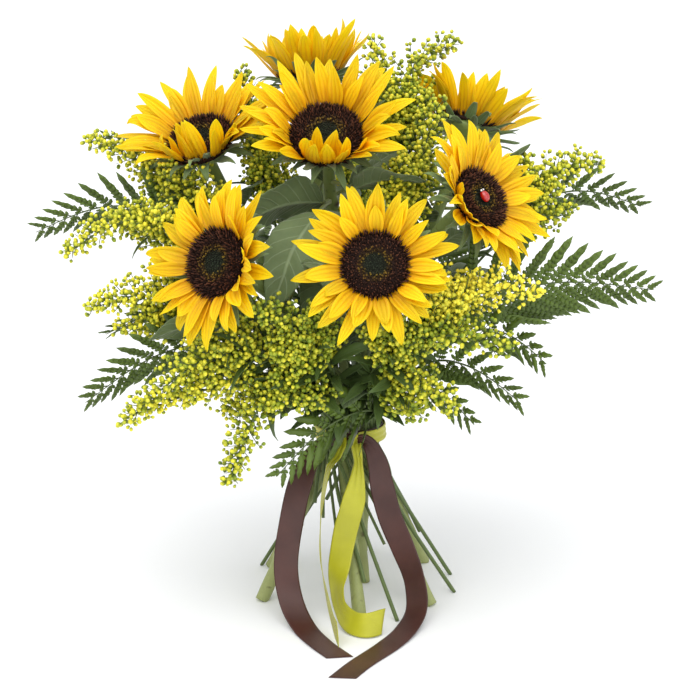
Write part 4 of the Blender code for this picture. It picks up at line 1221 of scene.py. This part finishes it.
def goldenrod(name, rng, opened):
    run = Run(name, 0.0062)
    start = max(0.02, run.first_wider(0.0035) - 0.012)
    g, stalks, leaves = Gathering(), Gathering(), Gathering()
    shape = STAR_SHAPE if opened else BUD_SHAPE
    bud = OPEN_BUD if opened else CLOSED_BUD
    tint = RIPE.get(name, 0.40)
    radius = np.interp(run.s, (0, start, run.length), (0.0017, 0.0013, 0.0004))
    stalks.tube(run.points, radius, 8, 0.25, along=np.zeros(len(run.s)))
    main = run.points[run.s >= start]
    wide = float(run.half.max()) * 0.9 + 0.012
    plume(g, stalks, main, wide, rng, shape, bud, tint)
    length = run.length - start
    for side, from_share, long_share, turn in SIDE_PLUMES:
        s = start + from_share * length
        if s < 0.03:
            continue
        p, t, a, n = (q[0] for q in run.at(s))
        up = n if n[2] > 0 else -n
        way = unit(a * side + up * rng.uniform(-0.1, 0.5))
        reach = length * long_share * rng.uniform(0.9, 1.1)
        if from_share < 0:
            reach += -from_share * length * 0.7
        ahead = run.at(min(run.length, s + reach))[0][0] - p
        bow = way * math.sin(turn) * reach
        path = hermite(p, ahead * 0.9 + bow * 0.9, p + ahead * 0.92 + bow * 0.85,
                       ahead * 0.9 + bow * 0.2 - UP * reach * 0.25, 16)
        foot = 3 if from_share < 0 else 1
        stalks.tube(path, np.linspace(0.0011, 0.0004, 16), 5, 0.25, along=np.zeros(16))
        plume(g, stalks, path[foot:], wide * 0.85, rng, shape, bud, tint)
    narrow_leaves(leaves, run, max(0.03, run.above(0.165)), start + 0.25 * length, 20, rng)
    ob = g.build(name + "_buds")
    place(ob, OPEN_BUDS if opened else BUDS, [name])
    ob = stalks.build(name + "_stalks")
    place(ob, SPRAY_STEM, [])
    ob = leaves.build(name + "_leaves")
    thicken(ob, 0.0003)
    place(ob, NARROW, [])


for number, name in enumerate(sorted(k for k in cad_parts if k.startswith("goldenrod_"))):
    goldenrod(name, np.random.default_rng(300 + number), name in OPENED)

# ------------------------------------------------------------------ fern


def fern(name, rng):
    """A leatherleaf frond: side fronds down both sides of a rib, each cut into toothed leaflets."""
    run = Run(name, 0.0054)
    start = run.first_wider(0.0032)
    length = run.length - start
    g, stalks = Gathering(), Gathering()
    radius = np.interp(run.s, (0, start, run.length), (0.0013, 0.0011, 0.0003))
    stalks.tube(run.points, radius, 7, 0.3)
    widest = float(run.half.max())
    rows = []

    def leaflet(at, x, normal, size, tint):
        z = square_to(normal, x)
        rows.append((at, x, np.cross(z, x), z, size, tint))

    s, k = start - 0.004, 0
    while s < run.length - 0.003:
        share = float(np.clip((s - start) / length, 0, 1))
        side = 1 if k % 2 else -1
        p, t, a, n = (q[0] for q in run.at(s))
        reach = widest * 1.34 * (1 - share) ** 0.90 + 0.006
        way = unit(a * side + t * (0.62 + 0.45 * share))
        steps = max(3, int(round(reach / 0.0041)))
        q = np.linspace(0, 1, steps + 1)[:, None]
        droop, twist = rng.uniform(0.04, 0.22), rng.normal(0, 0.12)
        path = p + way * reach * q + t * 0.12 * reach * q**2 - n * (droop * reach * q**2 - 0.05 * reach * q)
        stalks.tube(path, np.linspace(0.0006, 0.0002, steps + 1), 4, 0.3)
        d = tangents_of(path)
        normal = turned(square_to(np.broadcast_to(n, d.shape), d), way, twist)
        beside = np.cross(normal, d)
        tint = rng.uniform(0.1, 0.9)
        broad = min(0.0080, 0.0040 + 0.100 * reach)
        for j in range(1, steps + 1):
            r = (j - 0.4) / steps
            blade = broad * (1 - 0.62 * r**1.4) * rng.uniform(0.92, 1.06)
            for hand in (1, -1):
                x = unit(beside[j] * hand + d[j] * (0.62 + 0.75 * r) + normal[j] * rng.normal(0.05, 0.08))
                leaflet(path[j] - d[j] * 0.0008, x, normal[j] + rng.normal(0, 0.08, 3),
                        (blade, max(0.0030, min(0.0052, blade * 0.66)), 0.006),
                        np.clip(tint + rng.normal(0, 0.1), 0, 1))
        # the leaflets run together into one toothed point
        half_way = path[max(1, int(steps * 0.30))]
        long = float(np.linalg.norm(path[-1] - half_way)) + 0.0065
        leaflet(half_way, unit(path[-1] - half_way), normal[-1],
                (long, min(0.0090, 0.0030 + 0.17 * reach), 0.006), tint)
        s += 0.0074 * (1 - 0.36 * share)
        k += 1
    at, x, y, z, size, tint = (np.array(column) for column in zip(*rows))
    g.scatter(LEAFLET_SHAPE, at, x, y, z, size, tint)
    ob = g.build(name + "_leaflets")
    place(ob, FERN, [name])
    ob = stalks.build(name + "_ribs")
    place(ob, SPRAY_STEM, [])


for number, name in enumerate(sorted(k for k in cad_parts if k.startswith("fern_"))):
    fern(name, np.random.default_rng(400 + number))

# ------------------------------------------------------------------ ribbons

RIBBON_WIDTH = 0.020
RIBBON_CLOTH = 0.0003
SHIFT = np.array((-0.012, -0.008, 0.0))
TIE_HEIGHT = 0.137
BAND = 0.0268
FLOOR = 0.0004


def band_points(radius, z, start, stop, count):
    """One turn round the tie, from azimuth start to stop."""
    rows = []
    for k in range(count):
        a = math.radians(start + (stop - start) * k / (count - 1))
        rows.append(((radius * math.cos(a), radius * math.sin(a), z), (math.cos(a), math.sin(a), 0.0), 0.62))
    return rows


# middle line, facing and share of the full width, from one cut end to the other, as on the CAD solid
BROWN_PATH = (
    [((-0.0080, -0.1570, FLOOR), (0, 0, 1), 1.0),
     ((-0.0240, -0.1300, FLOOR + 0.0006), (0, 0, 1), 1.0),
     ((-0.0380, -0.1010, 0.0035), (0.05, -0.25, 1), 1.0),
     ((-0.0480, -0.0830, 0.0180), (0.05, -0.9, 0.6), 1.0),
     ((-0.0525, -0.0730, 0.0450), (0, -1, 0.15), 1.0),
     ((-0.0480, -0.0620, 0.0800), (0, -1, 0.1), 1.0),
     ((-0.0400, -0.0500, 0.1120), (-0.15, -1, 0.1), 1.0),
     ((-0.0280, -0.0370, 0.1330), (-0.4, -1, 0.2), 0.70),
     ((-0.0120, -0.0300, 0.1420), (-0.35, -1, 0.1), 0.45)]
    + band_points(BAND, TIE_HEIGHT + 0.0030, 276, 276 + 342, 19)
    + [((0.0010, -0.0310, 0.1390), (0.1, -1, 0), 0.42),
       ((0.0135, -0.0345, 0.1400), (0.3, -1, 0), 0.55),
       ((0.0225, -0.0400, 0.1240), (0.25, -1, 0), 0.85),
       ((0.0265, -0.0460, 0.1040), (0.15, -1, 0), 1.0),
       ((0.0330, -0.0510, 0.0800), (0.05, -1, 0), 1.0),
       ((0.0440, -0.0560, 0.0540), (-0.15, -1, 0), 1.0),
       ((0.0530, -0.0620, 0.0300), (-0.45, -0.9, 0.1), 1.0),
       ((0.0550, -0.0780, 0.0110), (-0.5, -0.6, 0.6), 1.0),
       ((0.0470, -0.1020, 0.0030), (-0.15, -0.2, 1), 1.0),
       ((0.0320, -0.1320, FLOOR + 0.0005), (0, 0, 1), 1.0),
       ((0.0080, -0.1700, FLOOR), (0, 0, 1), 1.0),
       ((-0.0060, -0.1970, FLOOR), (0, 0, 1), 1.0)]
)

LIME_PATH = (
    [((0.0270, -0.1070, 0.0105), (0.15, -1, 0.25), 1.0),
     ((0.0130, -0.1150, 0.0103), (0.0, -1, 0.3), 1.0),
     ((0.0010, -0.1080, 0.0105), (-0.35, -1, 0.3), 0.95),
     ((-0.0075, -0.0930, 0.0160), (-0.9, -0.55, 0.3), 0.85),
     ((-0.0105, -0.0830, 0.0300), (-0.95, -0.7, 0.1), 0.95),
     ((-0.0085, -0.0760, 0.0480), (-0.5, -1, 0), 1.0),
     ((-0.0035, -0.0660, 0.0740), (-0.2, -1, 0), 1.0),
     ((0.0035, -0.0560, 0.0980), (0.0, -1, 0), 0.95),
     ((0.0068, -0.0460, 0.1250), (0.0, -1, 0), 0.36),
     ((0.0052, -0.0400, 0.1390), (0.0, -1, 0), 0.45)]
    + band_points(BAND + 0.0030, TIE_HEIGHT + 0.0030, 284, 284 + 330, 19)
    + [((-0.0090, -0.0385, 0.1340), (-0.4, -1, 0), 0.40),
       ((-0.0180, -0.0500, 0.1200), (-0.9, -0.3, 0.3), 0.70),
       ((-0.0235, -0.0680, 0.0860), (-1, 0, 0), 1.0),
       ((-0.0235, -0.0830, 0.0540), (-1, 0, 0), 1.0),
       ((-0.0185, -0.0980, 0.0290), (-1, 0, 0), 1.0),
       ((-0.0130, -0.1180, 0.0130), (-1, -0.1, 0), 1.0),
       ((-0.0095, -0.1360, 0.0108), (-1, -0.05, 0), 0.95)]
)


def ribbon(name, path, material, node_name, rng):
    marks = through([p for p, _, _ in path])
    per = (len(marks) - 1) / (len(path) - 1)
    share_at = np.arange(len(marks)) / per
    index = np.arange(len(path))
    face = spread(share_at, index, unit([f for _, f, _ in path]))
    gathered = np.interp(share_at, index, [w for _, _, w in path])
    along = lengths_along(marks)
    count = int(along[-1] / 0.0025)
    s = np.linspace(0, along[-1], count)
    p, face, gathered = spread(s, along, marks) + SHIFT, spread(s, along, face), spread(s, along, gathered)
    t = tangents_of(p)
    w = unit(np.cross(face, t))
    n = np.cross(t, w)
    u = np.linspace(-1, 1, 15)
    half = RIBBON_WIDTH / 2 * gathered
    # where it is gathered the cloth folds into pleats; elsewhere it cups very slightly
    pleat = (1 - gathered)[:, None] * np.cos(u * 9.0)[None] * 0.0011
    cup = 0.035 * half[:, None] * (u[None] ** 2)
    slow = 0.00045 * np.sin(s * 95 + rng.uniform(0, 6))[:, None] * u[None]
    clear = np.clip(p[:, 2] / 0.004, 0, 1)[:, None]
    # slanted cut ends
    grid = (p[:, None] + w[:, None] * (half[:, None] * u[None])[..., None]
            + n[:, None] * ((cup + pleat + slow) * clear)[..., None])
    for end, way in ((0, 1), (-1, -1)):
        for k in range(5):
            row = k if end == 0 else -1 - k
            grid[row] += t[row] * (u[:, None] * 0.0040 * (1 - k / 5.0)) * way
    grid[..., 2] = np.maximum(grid[..., 2], RIBBON_CLOTH / 2 + 0.00005)
    g = Gathering()
    g.sheet(grid, (s / s[-1])[:, None], u[None], 0.5)
    ob = g.build(name)
    cloth = ob.data.uv_layers.new(name="cloth")
    grid_uv = np.stack(np.broadcast_arrays(u[None] * RIBBON_WIDTH / 2, s[:, None]), axis=-1).reshape(-1, 2)
    loops = np.empty(len(ob.data.loops), int)
    ob.data.loops.foreach_get("vertex_index", loops)
    cloth.data.foreach_set("uv", grid_uv[loops].ravel())
    thicken(ob, RIBBON_CLOTH)
    place(ob, material, [node_name])
    return ob


ribbon("brown_satin_ribbon", BROWN_PATH, BROWN_SATIN, "brown_ribbon", np.random.default_rng(501))
ribbon("lime_satin_ribbon", LIME_PATH, LIME_SATIN, "lime_ribbon", np.random.default_rng(502))

# ------------------------------------------------------------------ ladybird


def ladybird():
    spots, _ = corners_of("ladybird")
    middle = spots.mean(axis=0)
    vectors = np.linalg.eigh(np.cov((spots - middle).T))[1]
    perch = heads[4]
    ahead = square_to(vectors[:, 2], perch.n)
    if ahead @ perch.e2 < 0:
        ahead = -ahead
    beside = np.cross(ahead, perch.n)
    low = perch.at + perch.n * float(((spots - perch.at) @ perch.n).min())
    centre = (low + ahead * float((spots - low).dot(ahead).mean())
              + beside * float((spots - low).dot(beside).mean()))

    def lay(ob, at, name, material):
        for v in ob.data.vertices:
            q = np.array(v.co)
            v.co = at + beside * q[0] + ahead * q[1] + perch.n * q[2]
        ob.name = name
        ob.data.name = name
        for face in ob.data.polygons:
            face.use_smooth = True
        place(ob, material, ["ladybird"] if name == "ladybird_wing_cases" else [])

    bpy.ops.object.select_all(action="DESELECT")
    bpy.ops.mesh.primitive_uv_sphere_add(segments=32, ring_count=20, radius=0.0039, location=(0, 0, 0))
    shell = bpy.context.object
    pick_points(shell, lambda c: c.z < 0)
    bpy.ops.transform.resize(value=(1, 1, 0.22), center_override=(0, 0, 0))
    bpy.ops.mesh.select_all(action="SELECT")
    bpy.ops.transform.resize(value=(1, 1.25, 1), center_override=(0, 0, 0))
    bpy.ops.object.mode_set(mode="OBJECT")
    # the seam between the wing cases
    for v in shell.data.vertices:
        if v.co.z > 0.0002 and v.co.y < 0.0038:
            v.co.z -= 0.00035 * math.exp(-(v.co.x / 0.00028) ** 2)
    lay(shell, centre + perch.n * 0.0009, "ladybird_wing_cases", RED_GLOSS)
    for name, radius, flat, spot, material in (
            ("ladybird_head", 0.0019, 0.8, (0.0, 0.0046, 0.0008), BLACK_GLOSS),
            ("ladybird_eye_left", 0.00085, 1.0, (-0.0012, 0.0054, 0.0020), WHITE_GLOSS),
            ("ladybird_eye_right", 0.00085, 1.0, (0.0012, 0.0054, 0.0020), WHITE_GLOSS)):
        bpy.ops.object.select_all(action="DESELECT")
        bpy.ops.mesh.primitive_uv_sphere_add(segments=20, ring_count=12, radius=radius, location=(0, 0, 0))
        part = bpy.context.object
        pick_points(part, lambda c: c.z < 0)
        bpy.ops.transform.resize(value=(1, 1, flat), center_override=(0, 0, 0))
        bpy.ops.object.mode_set(mode="OBJECT")
        at = centre + beside * spot[0] + ahead * spot[1] + perch.n * spot[2]
        lay(part, at, name, material)


ladybird()

# ------------------------------------------------------------------ floor, lights and camera

bpy.ops.object.select_all(action="DESELECT")
bpy.ops.mesh.primitive_grid_add(x_subdivisions=8, y_subdivisions=8, size=40.0, location=(0, 8, -0.0002))
floor = bpy.context.object
floor.name = "studio_floor"
bpy.ops.object.transform_apply(location=True, rotation=False, scale=False)
paper, tree, shader = new_material("pale_paper")
tone = use(tree, MOTTLE, Color=(0.93, 0.94, 0.955), Scale=0.8, Amount=0.02, Tint=0.5, Tint_Amount=0.0)
tree.links.new(tone.outputs["Color"], shader.inputs["Base Color"])
shader.inputs["Roughness"].default_value = 0.65
shader.inputs["Specular IOR Level"].default_value = 0.3
floor.data.materials.append(paper)


MIDDLE = (-0.012, -0.008, 0.2085)


def soft_sun(name, spot, strength, softness, colour):
    """A broad, even light from the side of spot; softness is its width in degrees."""
    light = bpy.data.lights.new(name, "SUN")
    light.angle = math.radians(softness)
    light.energy = strength
    light.color = colour
    ob = bpy.data.objects.new(name, light)
    bpy.context.scene.collection.objects.link(ob)
    ob.location = spot
    ob.rotation_euler = (Vector(MIDDLE) - Vector(spot)).to_track_quat("-Z", "Y").to_euler()


soft_sun("key_light", (-0.45, -1.35, 2.9), 1.75, 60, (1.0, 0.99, 0.965))
soft_sun("fill_light", (1.6, -2.2, 1.0), 0.6, 50, (0.97, 0.985, 1.0))

world = bpy.data.worlds.new("studio_air")
bpy.context.scene.world = world
world.use_nodes = True
world.node_tree.nodes["Background"].inputs["Color"].default_value = (0.985, 0.99, 1.0, 1.0)
world.node_tree.nodes["Background"].inputs["Strength"].default_value = 0.88

eye = bpy.data.cameras.new("camera")
camera = bpy.data.objects.new("camera", eye)
bpy.context.scene.collection.objects.link(camera)
distance, height = 2.0, math.radians(16)
back = Vector((0.0, -math.cos(height), math.sin(height)))
camera.location = Vector(MIDDLE) + back * distance
camera.rotation_euler = (-back).to_track_quat("-Z", "Y").to_euler()
eye.sensor_width = 36.0
eye.lens = 123.9
eye.clip_end = 100.0
bpy.context.scene.camera = camera
bpy.context.scene.view_settings.view_transform = "Standard"
